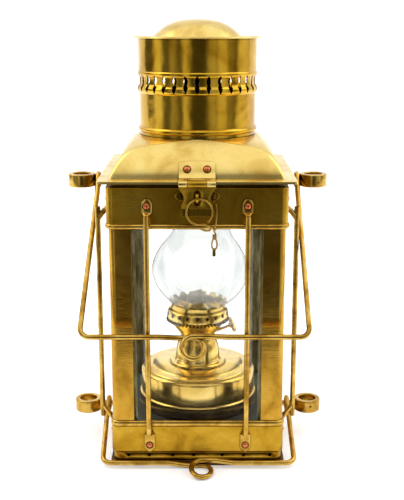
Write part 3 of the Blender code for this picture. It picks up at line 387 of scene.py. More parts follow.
# Dark lining for the drum's and the burner's insides: soot that the burning lamp lays there, and painted
# shade in the slots, holes and gaps that it darkens.
sootAndShade = brassMaterial(
    "soot and painted shade lining",
    dict(tarnishAndShadeLook, deep="#120d06", middle="#1f170b", light="#342712", stain="#0c0805", rough=0.5),
)
copper = copperMaterial()
tarnish = tarnishMaterial()
paneGlass = glassMaterial("drawn window glass", "#fdfefd", 0.08, 0.01, 0.04)
bulbGlass = glassMaterial("blown lamp glass", "#f3f6f5", 0.8, 0.0, 0.0)
wickCotton = wickMaterial()
floorPatina = floorPatinaMaterial()
print("materials made")


# Mesh helpers: rings of points joined into closed solids.
def finishMesh(shape, name, material, sharp=35, recalc=True):
    if recalc:
        bmesh.ops.recalc_face_normals(shape, faces=shape.faces)
    mesh = bpy.data.meshes.new(name)
    shape.to_mesh(mesh)
    shape.free()
    mesh.materials.append(material)
    mesh.shade_smooth()
    mesh.set_sharp_from_angle(angle=math.radians(sharp))
    made = bpy.data.objects.new(name, mesh)
    bpy.context.scene.collection.objects.link(made)
    return made


def addRings(shape, rings, closed=False):
    made = [[shape.verts.new(point) for point in ring] for ring in rings]
    pairs = list(zip(made, made[1:])) + ([(made[-1], made[0])] if closed else [])
    for first, second in pairs:
        count = len(first)
        for i in range(count):
            j = (i + 1) % count
            shape.faces.new((first[i], first[j], second[j], second[i]))
    if not closed:
        shape.faces.new(made[0])
        shape.faces.new(list(reversed(made[-1])))


def squareRing(half, corner, z, steps=12, flatten=0.0):
    corner = min(corner, half * 0.985)
    points = []
    for quarter in range(4):
        start = quarter * math.pi / 2
        centre = Matrix.Rotation(start, 3, "Z") @ Vector((half - corner, half - corner, 0))
        ends = [Vector((math.cos(start + a), math.sin(start + a), 0)) * corner for a in (0, math.pi / 2)]
        for k in range(steps + 1):
            share = k / steps
            offset = Vector(
                (math.cos(start + share * math.pi / 2), math.sin(start + share * math.pi / 2), 0)
            ) * corner
            chord = ends[0].lerp(ends[1], share)
            points.append(centre + offset.lerp(chord, flatten) + Vector((0, 0, z)))
    return points


def addTurned(shape, profile, sides, closed=True):
    rings = []
    for radius, z in profile:
        if radius == 0:
            rings.append([shape.verts.new((0, 0, z))])
        else:
            turn = [2 * math.pi * k / sides for k in range(sides)]
            rings.append([shape.verts.new((radius * math.cos(a), radius * math.sin(a), z)) for a in turn])
    pairs = list(zip(rings, rings[1:]))
    if closed and len(rings[0]) > 1:
        pairs.append((rings[-1], rings[0]))
    for first, second in pairs:
        for i in range(sides):
            j = (i + 1) % sides
            if len(first) == 1 and len(second) == 1:
                continue
            if len(first) == 1:
                shape.faces.new((first[0], second[i], second[j]))
            elif len(second) == 1:
                shape.faces.new((second[0], first[j], first[i]))
            else:
                shape.faces.new((first[i], first[j], second[j], second[i]))


def addSweep(shape, points, sections, side, sides):
    rings = []
    side = Vector(side)
    for k, point in enumerate(points):
        tangent = (points[min(k + 1, len(points) - 1)] - points[max(k - 1, 0)]).normalized()
        side = (side - tangent * side.dot(tangent)).normalized()
        up = tangent.cross(side)
        wide, thick = sections[k]
        turn = [2 * math.pi * (j + 0.5) / sides for j in range(sides)]
        rings.append([point + side * wide * math.cos(a) + up * thick * math.sin(a) for a in turn])
    addRings(shape, rings)


def smoothPath(points, steps):
    # a curve through every point, with its tangents taken from the neighbours
    path = []
    for k in range(len(points) - 1):
        p0, p1, p2, p3 = points[max(k - 1, 0)], points[k], points[k + 1], points[
            min(k + 2, len(points) - 1)
        ]
        for s in range(steps):
            t = s / steps
            second, third = 2 * p0 - 5 * p1 + 4 * p2 - p3, 3 * p1 - p0 - 3 * p2 + p3
            path.append(0.5 * (2 * p1 + (p2 - p0) * t + second * t * t + third * t * t * t))
    path.append(points[-1])
    return path


def roundCorners(points, radius, steps):
    path = [points[0]]
    for before, corner, after in zip(points, points[1:], points[2:]):
        back = (before - corner).normalized()
        ahead = (after - corner).normalized()
        halfAngle = back.angle(ahead) / 2
        reach = radius / math.tan(halfAngle)
        centre = corner + (back + ahead).normalized() * (radius / math.sin(halfAngle))
        start = corner + back * reach - centre
        end = corner + ahead * reach - centre
        whole = start.angle(end)
        for k in range(steps + 1):
            share = k / steps
            turned = start * math.sin((1 - share) * whole) + end * math.sin(share * whole)
            path.append(centre + turned / math.sin(whole))
    path.append(points[-1])
    return path


def arcPoints(centre, radius, startDeg, endDeg, steps):
    turn = [math.radians(startDeg + (endDeg - startDeg) * k / steps) for k in range(steps + 1)]
    return [(centre[0] + radius * math.cos(a), centre[1] + radius * math.sin(a)) for a in turn]


def stripOutline(path, thick):
    left, right = [], []
    for k, (a, b) in enumerate(path):
        before, after = path[max(k - 1, 0)], path[min(k + 1, len(path) - 1)]
        along = Vector((after[0] - before[0], after[1] - before[1])).normalized()
        left.append((a - along.y * thick / 2, b + along.x * thick / 2))
        right.append((a + along.y * thick / 2, b - along.x * thick / 2))
    return left + right[::-1]


def softenEdges(piece, width, segments=3, angle=32):
    bevel = piece.modifiers.new("soft edges", "BEVEL")
    bevel.width = width
    bevel.segments = segments
    bevel.limit_method = "ANGLE"
    bevel.angle_limit = math.radians(angle)
    bevel.use_clamp_overlap = True
    return plainMesh(piece)


def plainMesh(piece):
    # the piece's evaluated shape becomes its mesh and its modifiers go
    graph = bpy.context.evaluated_depsgraph_get()
    mesh = bpy.data.meshes.new_from_object(piece.evaluated_get(graph))
    piece.modifiers.clear()
    piece.data = mesh
    return piece


def carve(piece, cutter):
    step = piece.modifiers.new("cut", "BOOLEAN")
    step.operation = "DIFFERENCE"
    step.object = cutter
    plainMesh(piece)
    bpy.data.objects.remove(cutter)


def wear(piece, body, replaced=()):
    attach(piece, body)
    if replaced:
        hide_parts(*replaced)


def smoothPairs(points, steps):
    return [(v.x, v.y) for v in smoothPath([Vector((a, b, 0)) for a, b in points], steps)]


def boxOutline(low, high):
    return [low, (high[0], low[1]), high, (low[0], high[1])]


def squareShell(name, profile, material, bevel, closed=True):
    shape = bmesh.new()
    addRings(shape, [squareRing(half, corner, z) for half, corner, z in profile], closed)
    piece = finishMesh(shape, name, material)
    return softenEdges(piece, bevel) if bevel else piece


def addBar(shape, start, end, radius, sides=24):
    start, end = Vector(start), Vector(end)
    way = end - start
    where = Matrix.Translation((start + end) / 2) @ way.to_track_quat("Z", "Y").to_matrix().to_4x4()
    sizes = {"segments": sides, "radius1": radius, "radius2": radius, "depth": way.length}
    bmesh.ops.create_cone(shape, cap_ends=True, matrix=where, **sizes)


def addSlab(shape, outline, low, high, axis):
    rings = []
    for along in (low, high):
        if axis == "X":
            rings.append([Vector((along, a, b)) for a, b in outline])
        else:
            rings.append([Vector((a, along, b)) for a, b in outline])
    addRings(shape, rings)


def slabPiece(name, outline, low, high, axis, material):
    shape = bmesh.new()
    addSlab(shape, outline, low, high, axis)
    return finishMesh(shape, name, material)


def mergeInto(shape, part):
    mesh = bpy.data.meshes.new("part")
    part.to_mesh(mesh)
    part.free()
    shape.from_mesh(mesh)
    bpy.data.meshes.remove(mesh)


def joinInto(piece, other):
    joined = bmesh.new()
    joined.from_mesh(piece.data)
    joined.from_mesh(other.data)
    joined.to_mesh(piece.data)
    joined.free()
    bpy.data.objects.remove(other)
    piece.data.set_sharp_from_angle(angle=math.radians(35))


# faces that pass the test take the dark lining of soot and painted shade
def sootAndShadeFaces(piece, test):
    piece.data.materials.append(sootAndShade)
    for face in piece.data.polygons:
        if test(face):
            face.material_index = 1


# Case: base, bands, beads and posts as soft-edged sheet.
case = {
    "baseHalf": 0.0804, "baseTop": 0.005, "corner": 0.0065, "sheet": 0.0008, "gap": 0.0003,
    "stripHalf": 0.0776, "stripTop": 0.0126, "stepTop": 0.0140, "bandHalf": 0.0792, "lowBandTop": 0.0387,
    "wireHalf": 0.0803, "wireTop": 0.0442, "topHalf": 0.0800, "topBandTop": 0.2609,
    "beadHalf": 0.0813, "beadLow": 0.2242, "beadHigh": 0.2289, "edgeDepth": 0.0022,
    "postEdge": 0.058, "floorTop": 0.0315, "postTop": 0.255, "baseSoft": 0.0008, "bandSoft": 0.0003,
    "postSoft": 0.00025,
    "ventHeight": 0.0094, "ventRadius": 0.0015,
    "vents": (-0.0638, -0.0445, -0.0231, -0.0036, 0.0230, 0.0428, 0.0670),
}


def makeBase():
    c = case
    rings = [(c["baseHalf"], c["corner"], z) for z in (0, c["baseTop"])]
    wear(
        squareShell("base_tray", rings, tarnishAndShadeBrass, c["baseSoft"], False), "case", ["base_plate"],
    )


def makeBand(name, node, line, vents):
    # the line is the band's outer face, as half widths and heights
    c = case
    outer = [(half, c["corner"], z) for half, z in line]
    inner = [(half - c["sheet"], c["corner"] - c["sheet"], z) for half, z in reversed(line)]
    band = squareShell(name, outer + inner, agedSheet, c["bandSoft"])
    if vents:
        shape = bmesh.new()
        reach, height = c["baseHalf"], c["ventHeight"]
        for x in vents:
            addBar(shape, (x, -reach, height), (x, reach, height), c["ventRadius"], 16)
            addBar(shape, (-reach, x, height), (reach, x, height), c["ventRadius"], 16)
        carve(band, finishMesh(shape, "vent_cutter", agedSheet))
    wear(band, "case", [node])


def makeEdge(name, node, half, low, high, back):
    # a half-round edge: a flat back and a round front
    c = case
    corner, inCorner = c["corner"], c["corner"] - c["sheet"]
    middle, tall, deep = (low + high) / 2, (high - low) / 2, min(c["edgeDepth"], half - back)
    profile = [(back, inCorner, low), (half - deep, corner, low)]
    for k in range(1, 12):
        a = math.radians(-90 + 180 * k / 12)
        profile.append(
            (half - deep + deep * math.cos(a), corner + deep * math.cos(a), middle + tall * math.sin(a))
        )
    profile += [(half - deep, corner, high), (back, inCorner, high)]
    wear(squareShell(name, profile, wireBrass, 0), "case", [node])


def makePosts():
    c = case
    sheet, edge, inCorner = c["sheet"], c["postEdge"], c["corner"] - c["sheet"]
    outer = c["bandHalf"] - sheet - c["gap"]
    bend = outer - inCorner
    outline = [(edge, -outer)] + arcPoints((bend, -bend), inCorner, -90, 0, 12) + [
        (outer, -edge), (outer - sheet, -edge),
    ]
    outline += arcPoints((bend, -bend), inCorner - sheet, 0, -90, 12) + [(edge, -(outer - sheet))]
    for k, name in enumerate(("front_right", "back_right", "back_left", "front_left")):
        shape = bmesh.new()
        addRings(
            shape,
            [[Vector((x, y, z)) for x, y in outline] for z in (c["floorTop"] + c["gap"], c["postTop"])],
        )
        bmesh.ops.rotate(shape, verts=shape.verts, matrix=Matrix.Rotation(k * math.pi / 2, 3, "Z"))
        post = softenEdges(finishMesh(shape, "corner_post_" + name, postSheet), c["postSoft"])
        wear(post, "case", ["post_" + name])


def makeCase():
    c = case
    makeBase()
    strip = [(c["stripHalf"], c["baseTop"] + c["gap"]), (c["stripHalf"], c["stripTop"])]
    makeBand(
        "lower_band", "bottom_band",
        strip + [(c["bandHalf"], c["stepTop"]), (c["bandHalf"], c["lowBandTop"])], c["vents"],
    )
    makeEdge(
        "lower_edge", "bottom_wire", c["wireHalf"], c["lowBandTop"] - c["gap"], c["wireTop"],
        c["bandHalf"] - c["sheet"],
    )
    makeEdge(
        "upper_edge", "top_bead", c["beadHalf"], c["beadLow"], c["beadHigh"], c["topHalf"] - c["sheet"],
    )
    makeBand(
        "upper_band", "top_band",
        [(c["topHalf"], c["beadHigh"] - c["gap"]), (c["topHalf"], c["topBandTop"])], (),
    )
    makePosts()


makeCase()
print("case made")

# Guard rods: drawn wire, cranked in and hammered flat into a riveted tab at each end.
rod = {
    "radius": 0.0024, "place": 0.044, "plane": 0.0904, "topPlane": 0.0811, "lowPlane": 0.0803,
    "tabHalf": 0.00475, "tabThick": 0.0008, "tabEnd": 0.2515, "tabStart": 0.2400, "bendEnd": 0.2250,
    "lowEnd": 0.0143, "lowStart": 0.0300, "lowBend": 0.0475, "thinnest": 0.0004,
}


def rodPlaces():
    # each rod's name, its shift along its side, and its turn about the lantern's middle
    p = rod["place"]
    return (
        ("front_left", (-p, 0), 0), ("front_right", (p, 0), 0), ("left", (0, -p), -math.pi / 2),
        ("right", (0, -p), math.pi / 2),
    )


def makeRods():
    r = rod
    tab, wire = (r["tabHalf"], r["tabThick"]), (r["radius"], r["radius"])
    flattened = (r["tabHalf"] * 0.8, r["tabThick"] * 1.5)
    squeezed = (r["radius"] * 1.15, r["radius"] * 0.85)
    # shares of the crank's height and of its way out, with the wire's half width and half thickness there
    crankShares = (
        (0.0, 0.0, tab), (0.10, 0.05, flattened), (0.24, 0.20, squeezed), (0.36, 0.34, wire),
        (0.58, 0.61, wire), (0.80, 0.88, wire), (0.90, 0.97, wire), (1.0, 1.0, wire),
    )

    def crank(plane, tabHeight, bendHeight):
        out, up = r["plane"] - plane, bendHeight - tabHeight
        return [(Vector((0, -(plane + out * b), tabHeight + up * a)), size) for a, b, size in crankShares]

    def tabTip(plane, end, inward):
        # the tab's rounded end
        line = []
        for a in (0.25, 0.55, 0.9, 1.25, 1.57):
            size = (r["tabHalf"] * math.sin(a), r["tabThick"])
            line.append((Vector((0, -plane, end + inward * r["tabHalf"] * (1 - math.cos(a)))), size))
        return line

    line = tabTip(r["topPlane"], r["tabEnd"], -1) + crank(r["topPlane"], r["tabStart"], r["bendEnd"])
    lowHalf = tabTip(r["lowPlane"], r["lowEnd"], 1) + crank(r["lowPlane"], r["lowStart"], r["lowBend"])
    line += list(reversed(lowHalf))
    joined = smoothPath([Vector((*point.yz, 0)) for point, _ in line], 4)
    sizes = smoothPath([Vector((*size, 0)) for _, size in line], 4)
    for name, spot, turn in rodPlaces():
        shape = bmesh.new()
        sections = [(max(s.x, r["thinnest"]), s.y) for s in sizes]
        addSweep(shape, [Vector((0, p.x, p.y)) for p in joined], sections, (1, 0, 0), 20)
        bmesh.ops.rotate(shape, verts=shape.verts, matrix=Matrix.Rotation(turn, 3, "Z"))
        bmesh.ops.translate(shape, verts=shape.verts, vec=(*spot, 0))
        wear(finishMesh(shape, "rod_" + name, wireBrass, 60), "case", ["guard_rod_" + name])


makeRods()
print("guard rods made")

# Ring lugs on their shanks. The right-hand ones have a small pin hole in the ring's front wall.
lug = {
    "radius": 0.0129, "bore": 0.0083, "tall": 0.012, "place": 0.1093, "round": 0.0011, "shank": 0.0028,
    "seat": 0.0015, "washer": 0.0012, "washerShare": 1.7, "pinHole": 0.0011, "pinFront": -0.02,
    "pinBack": -0.006,
    # height, the wall that the shank leaves, and the pin hole's shift along and up
    "upper": (0.2553, 0.0803, 0.0035, -0.001), "lower": (0.0287, 0.0795, 0.0022, 0.001),
}


def makeLug(level, side):
    g = lug
    half, soft = g["tall"] / 2, g["round"]
    height, wall, pinAlong, pinUp = g[level]
    way = -1 if side == "left" else 1
    middle = way * g["place"]
    profile = [(g["bore"], -half + soft)]
    profile += [
        (g["bore"] + soft * 0.5 * (1 - math.cos(a)), -half + soft * (1 - math.sin(a)))
        for a in (0.5, 1.1, 1.57)
    ]
    profile += [
        (g["radius"] - soft * (1 - math.sin(a)), -half + soft * (1 - math.cos(a)))
        for a in (0, 0.5, 1.0, 1.57)
    ]
    profile += [(radius, -z) for radius, z in reversed(profile)]
    shape = bmesh.new()
    addTurned(shape, profile, 64)
    bmesh.ops.translate(shape, verts=shape.verts, vec=(middle, 0, height))
    piece = finishMesh(shape, "ring_lug_" + level + "_" + side, wireBrass)
    if side == "right":
        shape = bmesh.new()
        x, z = middle + pinAlong, height + pinUp
        addBar(shape, (x, g["pinFront"], z), (x, g["pinBack"], z), g["pinHole"], 16)
        carve(piece, finishMesh(shape, "pin_cutter", tarnishAndShadeBrass))
    shape = bmesh.new()
    shape.from_mesh(piece.data)
    start = (way * wall, 0, height)
    addBar(shape, start, (way * (g["place"] - g["radius"] + g["seat"]), 0, height), g["shank"], 32)
    addBar(shape, start, (way * (wall + g["washer"]), 0, height), g["shank"] * g["washerShare"], 32)
    shape.to_mesh(piece.data)
    shape.free()
    piece.data.set_sharp_from_angle(angle=math.radians(40))
    wear(piece, "case", ["lug_" + level + "_" + side])


for level in ("upper", "lower"):
    for side in ("left", "right"):
        makeLug(level, side)
print("ring lugs made")

# Bails: one wire each, eye to eye, with a full curl in the bar.
bailWire = {
    "radius": 0.0024, "eyeRadius": 0.0056, "corner": 0.008, "straight": 0.016, "lift": 0.0028,
    "lead": 0.030,
}
upperBail = {
    "pivot": 0.2553, "eye": 0.0937, "out": 0.0957, "drop": 0.1245, "left": 0.1040, "right": 0.0992,
    "curlX": -0.0035, "curlSide": 0.0098, "curlLong": 0.0098, "curlLift": 0,
}
lowerBail = {
    "pivot": 0.0287, "eye": 0.0890, "out": 0.0852, "drop": 0.0235, "left": 0.0875, "right": 0.0893,
    "curlX": 0.0035, "curlSide": 0.0090, "curlLong": 0.0119, "curlLift": 14,
}


def makeBail(name, node, b):
    w = bailWire
    e, lead, rise = w["eyeRadius"], w["lead"], w["lift"]
    leg = math.sqrt(b["out"] ** 2 + b["drop"] ** 2 - e * e)
    slope = math.atan2(b["drop"], b["out"]) + math.atan2(e, leg)
    along = Vector((0, -math.cos(slope), -math.sin(slope)))
    across = Vector((0, -math.sin(slope), math.cos(slope)))
    tilt = math.radians(b["curlLift"])
    curlAlong = along * math.cos(tilt) + across * math.sin(tilt)
    curlAcross = across * math.cos(tilt) - along * math.sin(tilt)
    bar = along * leg + across * e
    straight = along * w["straight"] + across * e

    def eye(x):
        turn = [math.radians(-270 * k / 30) for k in range(31)]
        return [Vector((x, 0, 0)) + (along * math.cos(a) + across * math.sin(a)) * e for a in turn]

    def onCurl(x, down, proud):
        return bar + Vector((b["curlX"] + x, 0, 0)) + curlAlong * down + curlAcross * proud

    def legPath(eyeX, barX, curlEnd):
        return [Vector((eyeX, 0, 0)) + straight, bar + Vector((barX, 0, 0)), onCurl(curlEnd, 0, 0)]

    leftPath = roundCorners(legPath(-b["eye"], -b["left"], -lead), w["corner"], 12)
    rightPath = roundCorners(legPath(b["eye"], b["right"], lead)[::-1], w["corner"], 12)
    # the wire leaves the bar's line by a little, so that the curl passes itself
    nearShare, liftShare, curlSteps = 0.45, 0.92, 24
    bend = [onCurl(-lead, 0, 0), onCurl(-lead * nearShare, 0, -rise * liftShare)]
    for k in range(curlSteps + 1):
        a = -2 * math.pi * k / curlSteps
        bend.append(
            onCurl(
                -b["curlSide"] * math.sin(a), b["curlLong"] * (1 - math.cos(a)),
                -rise + 2 * rise * k / curlSteps,
            )
        )
    bend += [onCurl(lead * nearShare, 0, rise * liftShare), onCurl(lead, 0, 0)]
    path = eye(-b["eye"]) + leftPath[:-1] + smoothPath(bend, 4) + rightPath[1:] + eye(b["eye"])[::-1]
    shape = bmesh.new()
    addSweep(shape, path, [(w["radius"], w["radius"])] * len(path), (1, 0, 0), 20)
    bmesh.ops.translate(shape, verts=shape.verts, vec=(0, 0, b["pivot"]))
    wear(finishMesh(shape, name, wireBrass, 60), node, [node])


makeBail("upper_carrying_bail", "upper_bail", upperBail)
makeBail("lower_lashing_bail", "lower_bail", lowerBail)
print("bails made")

# Roof: a pressed square dome on a flat flange. Its corners are flatter than true arcs, so each side
# ends in the arched crease of the pressing.
roof = {
    "flangeHalf": 0.0867, "flangeCorner": 0.0030, "flangeLow": 0.2651, "flangeTop": 0.2676,
    "flangeEase": 0.0005,
    "foot": 0.0768, "footFillet": 0.0003, "top": 0.0550, "rise": 0.0319, "hole": 0.048, "sheet": 0.0009,
    "bow": 1.5, "cornerFoot": 0.003, "cornerGain": 0.0035, "cornerFlare": 0.0478, "levels": 30,
    "crease": 0.132,
}


def domeOut(height):
    share = (height - roof["flangeTop"]) / roof["rise"]
    return roof["top"] + (roof["foot"] - roof["top"]) * (1 - share ** roof["bow"])


def makeRoof():
    r = roof
    half, low, top = r["flangeHalf"], r["flangeLow"], r["flangeTop"]
    edge = r["flangeCorner"]
    # half width, corner radius, height and how far the corner is flattened
    profile = [(half, edge, low, 0), (half, edge, low + 0.0021, 0), (half - r["flangeEase"], edge, top, 0)]
    profile += [
        (r["foot"] + 0.0011, 0.0040, top, 0),
        (r["foot"] + r["footFillet"], 0.0035, top + r["footFillet"], 0),
    ]

    def level(t, inset):
        wide = r["top"] + (r["foot"] - r["top"]) * (1 - t ** r["bow"])
        corner = r["cornerFoot"] + r["cornerGain"] * t + r["cornerFlare"] * t**7
        crease = r["crease"] * math.sin(min(t * 1.25, 1.0) * math.pi) if t < 0.8 else 0
        return (wide - inset, corner, top + r["rise"] * t - inset, crease)

    for k in range(1, r["levels"] + 1):
        profile.append(level((k / r["levels"]) ** 0.8, 0))
    profile += [
        (r["hole"], r["hole"], top + r["rise"], 0), (r["hole"], r["hole"], top + r["rise"] - r["sheet"], 0),
    ]
    for k in range(10, 0, -1):
        profile.append(level(k / 10, r["sheet"]))
    profile.append((r["foot"] - r["sheet"], r["cornerFoot"], low, 0))
    shape = bmesh.new()
    addRings(shape, [squareRing(wide, corner, z, 24, flat) for wide, corner, z, flat in profile], True)
    wear(finishMesh(shape, "pressed_roof", roofSheet, 28), "roof", ["roof_shell"])


makeRoof()

# Chimney drum: rolled sheet with beads, and a ring of slots pierced through the beaded gallery.
drum = {
    "wall": 0.0535, "bead": 0.0554, "inner": 0.0527, "upper": 0.0545, "foot": 0.2998, "top": 0.3860,
    "baseLow": 0.3023, "baseHigh": 0.3076, "lowBead": 0.3372, "lowBeadTop": 0.3445, "highBeadFoot": 0.3522,
    "highBead": 0.3573,
    "slots": 33, "slotLow": 0.3392, "slotHigh": 0.3540, "slotHalf": 0.0012, "slotBulge": 0.0010,
    "slotWaist": 0.0006,
    "columns": 8, "sootAndShade": 0.0002,
}


def makeDrum():
    d = drum
    wall, bead, columns = d["wall"], d["bead"], d["columns"]

    def halfRound(low, high, start, end):
        line = []
        for s in [k / 8 for k in range(9)]:
            swell = math.sin(s * math.pi) ** 0.6
            line.append(
                (start + (end - start) * s + (bead - (start + end) / 2) * swell, low + (high - low) * s)
            )
        return line

    outer = [(wall, d["foot"])] + halfRound(d["baseLow"], d["baseHigh"], wall, wall)
    outer += [(wall, (d["baseHigh"] + d["lowBead"]) / 2)] + halfRound(
        d["lowBead"], d["lowBeadTop"], wall, wall + 0.0004,
    )
    outer += [(wall + 0.0001, 0.3465), (wall, 0.3480), (wall, 0.3500)]
    outer += halfRound(d["highBeadFoot"], d["highBead"], wall + 0.0002, d["upper"])
    outer += [(d["upper"], z) for z in (0.3650, 0.3750, d["top"])]
    heights = [z for _, z in outer]
    low = min(range(len(outer)), key=lambda k: abs(heights[k] - d["slotLow"]))
    high = min(range(len(outer)), key=lambda k: abs(heights[k] - d["slotHigh"]))
    pitch = 2 * math.pi / d["slots"]

    def angles(z):
        # slot edges follow an hourglass: wide where the beads are pierced and narrow at the waist
        s = min(max((z - d["slotLow"]) / (d["slotHigh"] - d["slotLow"]), 0), 1)
        bulge = d["slotBulge"] * abs(math.sin(2 * math.pi * s)) ** 0.8
        pinch = d["slotWaist"] * (math.cos(2 * math.pi * s) + 1) / 2 * (1 if 0.25 > s or s > 0.75 else 0)
        half = (d["slotHalf"] + bulge - pinch) / wall
        turn = []
        for k in range(d["slots"]):
            middle = k * pitch - math.pi / 2
            turn += [middle - half, middle, middle + half]
            turn += [middle + half + (pitch - 2 * half) * j / (columns - 2) for j in range(1, columns - 2)]
        return turn

    shape = bmesh.new()
    count, last = d["slots"] * columns, len(outer) - 1

    def wallRows(line):
        return [
            [shape.verts.new((radius * math.cos(a), radius * math.sin(a), z)) for a in angles(z)]
            for radius, z in line
        ]

    front, back = wallRows(outer), wallRows([(d["inner"], z) for z in heights])
    for r in range(last):
        for i in range(count):
            if i % columns < 2 and low <= r < high:
                continue
            j = (i + 1) % count
            shape.faces.new((front[r][i], front[r][j], front[r + 1][j], front[r + 1][i]))
            shape.faces.new((back[r + 1][i], back[r + 1][j], back[r][j], back[r][i]))
    for i in range(count):
        j = (i + 1) % count
        shape.faces.new((front[last][i], front[last][j], back[last][j], back[last][i]))
        shape.faces.new((front[0][j], front[0][i], back[0][i], back[0][j]))
        if i % columns == 0:
            # the slot's two side walls, then its foot and its head
            k = i + 2
            for r in range(low, high):
                shape.faces.new((front[r][i], front[r + 1][i], back[r + 1][i], back[r][i]))
                shape.faces.new((front[r + 1][k], front[r][k], back[r][k], back[r + 1][k]))
            for r, flip in ((low, 1), (high, -1)):
                for a, b in ((i, i + 1), (i + 1, k)):
                    shape.faces.new([front[r][a], front[r][b], back[r][b], back[r][a]][::flip])
    piece = finishMesh(shape, "pierced_drum", drumSheet, 40)
    # the inner wall takes the dark lining, soot and painted shade, so that the slots show dark
    sootAndShadeFaces(piece, lambda face: math.hypot(face.center.x, face.center.y) < d["inner"] + d["sootAndShade"])
    wear(piece, "roof", ["chimney_drum"])


makeDrum()

# Chimney cap: a thin brim with a rolled lip and a low spun dome.
cap = {
    "brim": 0.0582, "brimLow": 0.3863, "brimTop": 0.3876, "foot": 0.0404, "top": 0.4028, "sheet": 0.001,
    "power": 2.8,
    "lip": 0.0009, "lipHalf": 0.0008, "lipRise": 0.0006,
}


def makeCap():
    c = cap
    shares = [math.sin(k / 20 * math.pi / 2) for k in range(21)]

    def dome(inset, low):
        rise = c["top"] - inset - low
        return [((c["foot"] - inset) * s, low + rise * (1 - s ** c["power"])) for s in shares]

    profile = dome(0, c["brimTop"])
    profile += [(c["foot"] + 0.0008, c["brimTop"] - 0.0001), (c["brim"] - 0.0025, c["brimTop"] - 0.0003)]
    centre, height = c["brim"] - c["lip"], c["brimLow"] + c["lipRise"]
    for a in (1.57, 1.0, 0.5, 0, -0.6, -1.2):
        profile.append((centre + c["lip"] * math.cos(a), height + c["lipHalf"] * math.sin(a)))
    profile += [
        (c["brim"] - 0.003, c["brimLow"]), (c["foot"], c["brimLow"]),
    ] + dome(c["sheet"], c["brimLow"])[::-1]
    shape = bmesh.new()
    addTurned(shape, profile, 128, False)
    wear(finishMesh(shape, "spun_cap", roofSheet, 40), "roof", ["chimney_cap"])


makeCap()
print("roof made")

# Sizes shared by the hasp, its staple and the hinges.
sheetHinge = {
    "out": 0.0900, "height": 0.2660, "barrel": 0.0030, "leaf": 0.0012, "pin": 0.0013, "bend": 0.0024,
    "room": 0.0003, "soft": 0.00022,
}
hasp = {
    "leafHalf": 0.0158, "leafTop": 0.2830, "topRound": 0.0026, "topBow": 0.0006, "domeShare": 1.15,
    "ridge": 0.0775,
    "knuckleHalf": 0.0083, "half": 0.0160, "waist": 0.0112, "waistShare": 0.74, "waistEase": 1.35,
    "waistTall": 0.0146, "plane": 0.0874,
    "rollHalf": 0.0135, "rollHeight": 0.2401, "rollRadius": 0.0024, "foldRise": 0.0042, "foldProud": 0.0002,
    "slotHalf": 0.0031, "slotLow": 0.2462, "slotHigh": 0.2599, "cutSide": 0.0175,
}


def makeRoofLeaf():
    h, s = hasp, sheetHinge
    front = (-s["out"], s["height"])
    proud = case["gap"] + s["leaf"] / 2
    lineHeight = s["height"] + s["bend"]
    foot, top = roof["flangeTop"], h["leafTop"]
    heights = [foot + (top - foot) * k / 8 for k in range(8, 2, -1)]
    path = [(-(domeOut(z) + proud * h["domeShare"]), z) for z in heights]
    path += [(-(roof["foot"] + 2 * proud), lineHeight + proud), (-(h["ridge"] + 3 * proud), lineHeight)]
    path += arcPoints(front, s["bend"], 90, 390, 36)
    leaf = slabPiece(
        "hasp_roof_leaf", stripOutline(path, s["leaf"]), -h["leafHalf"], h["leafHalf"], "X", roofSheet,
    )
    room, reach = h["knuckleHalf"] + s["room"], s["barrel"] + s["room"]
    notch = boxOutline((front[0] - reach, front[1] - reach), (front[0] + reach, front[1] + reach))
    carve(leaf, slabPiece("notch_cutter", notch, -room, room, "X", roofSheet))
    # the leaf's top edge is a shallow arc with rounded corners
    half, bend, bow = h["leafHalf"], h["topRound"], h["topBow"]
    edge = [(-half - 0.001, top + 0.004), (-half - 0.001, top - 0.0035)]
    edge += [
        (-half - 0.0001 + bend * (1 - math.cos(a)), top - bend - bow + bend * math.sin(a))
        for a in (0, 0.4, 0.8, 1.2, 1.5)
    ]
    edge += [(x * half, top - bow + bow * (1 - x * x)) for x in (-0.8, -0.6, -0.4, -0.2, 0)]
    edge += [(-x, z) for x, z in reversed(edge[:-1])]
    carve(leaf, slabPiece("edge_cutter", edge, -0.095, -0.05, "Y", roofSheet))
    wear(softenEdges(leaf, s["soft"], 2), "roof", ["hasp_upper_leaf"])


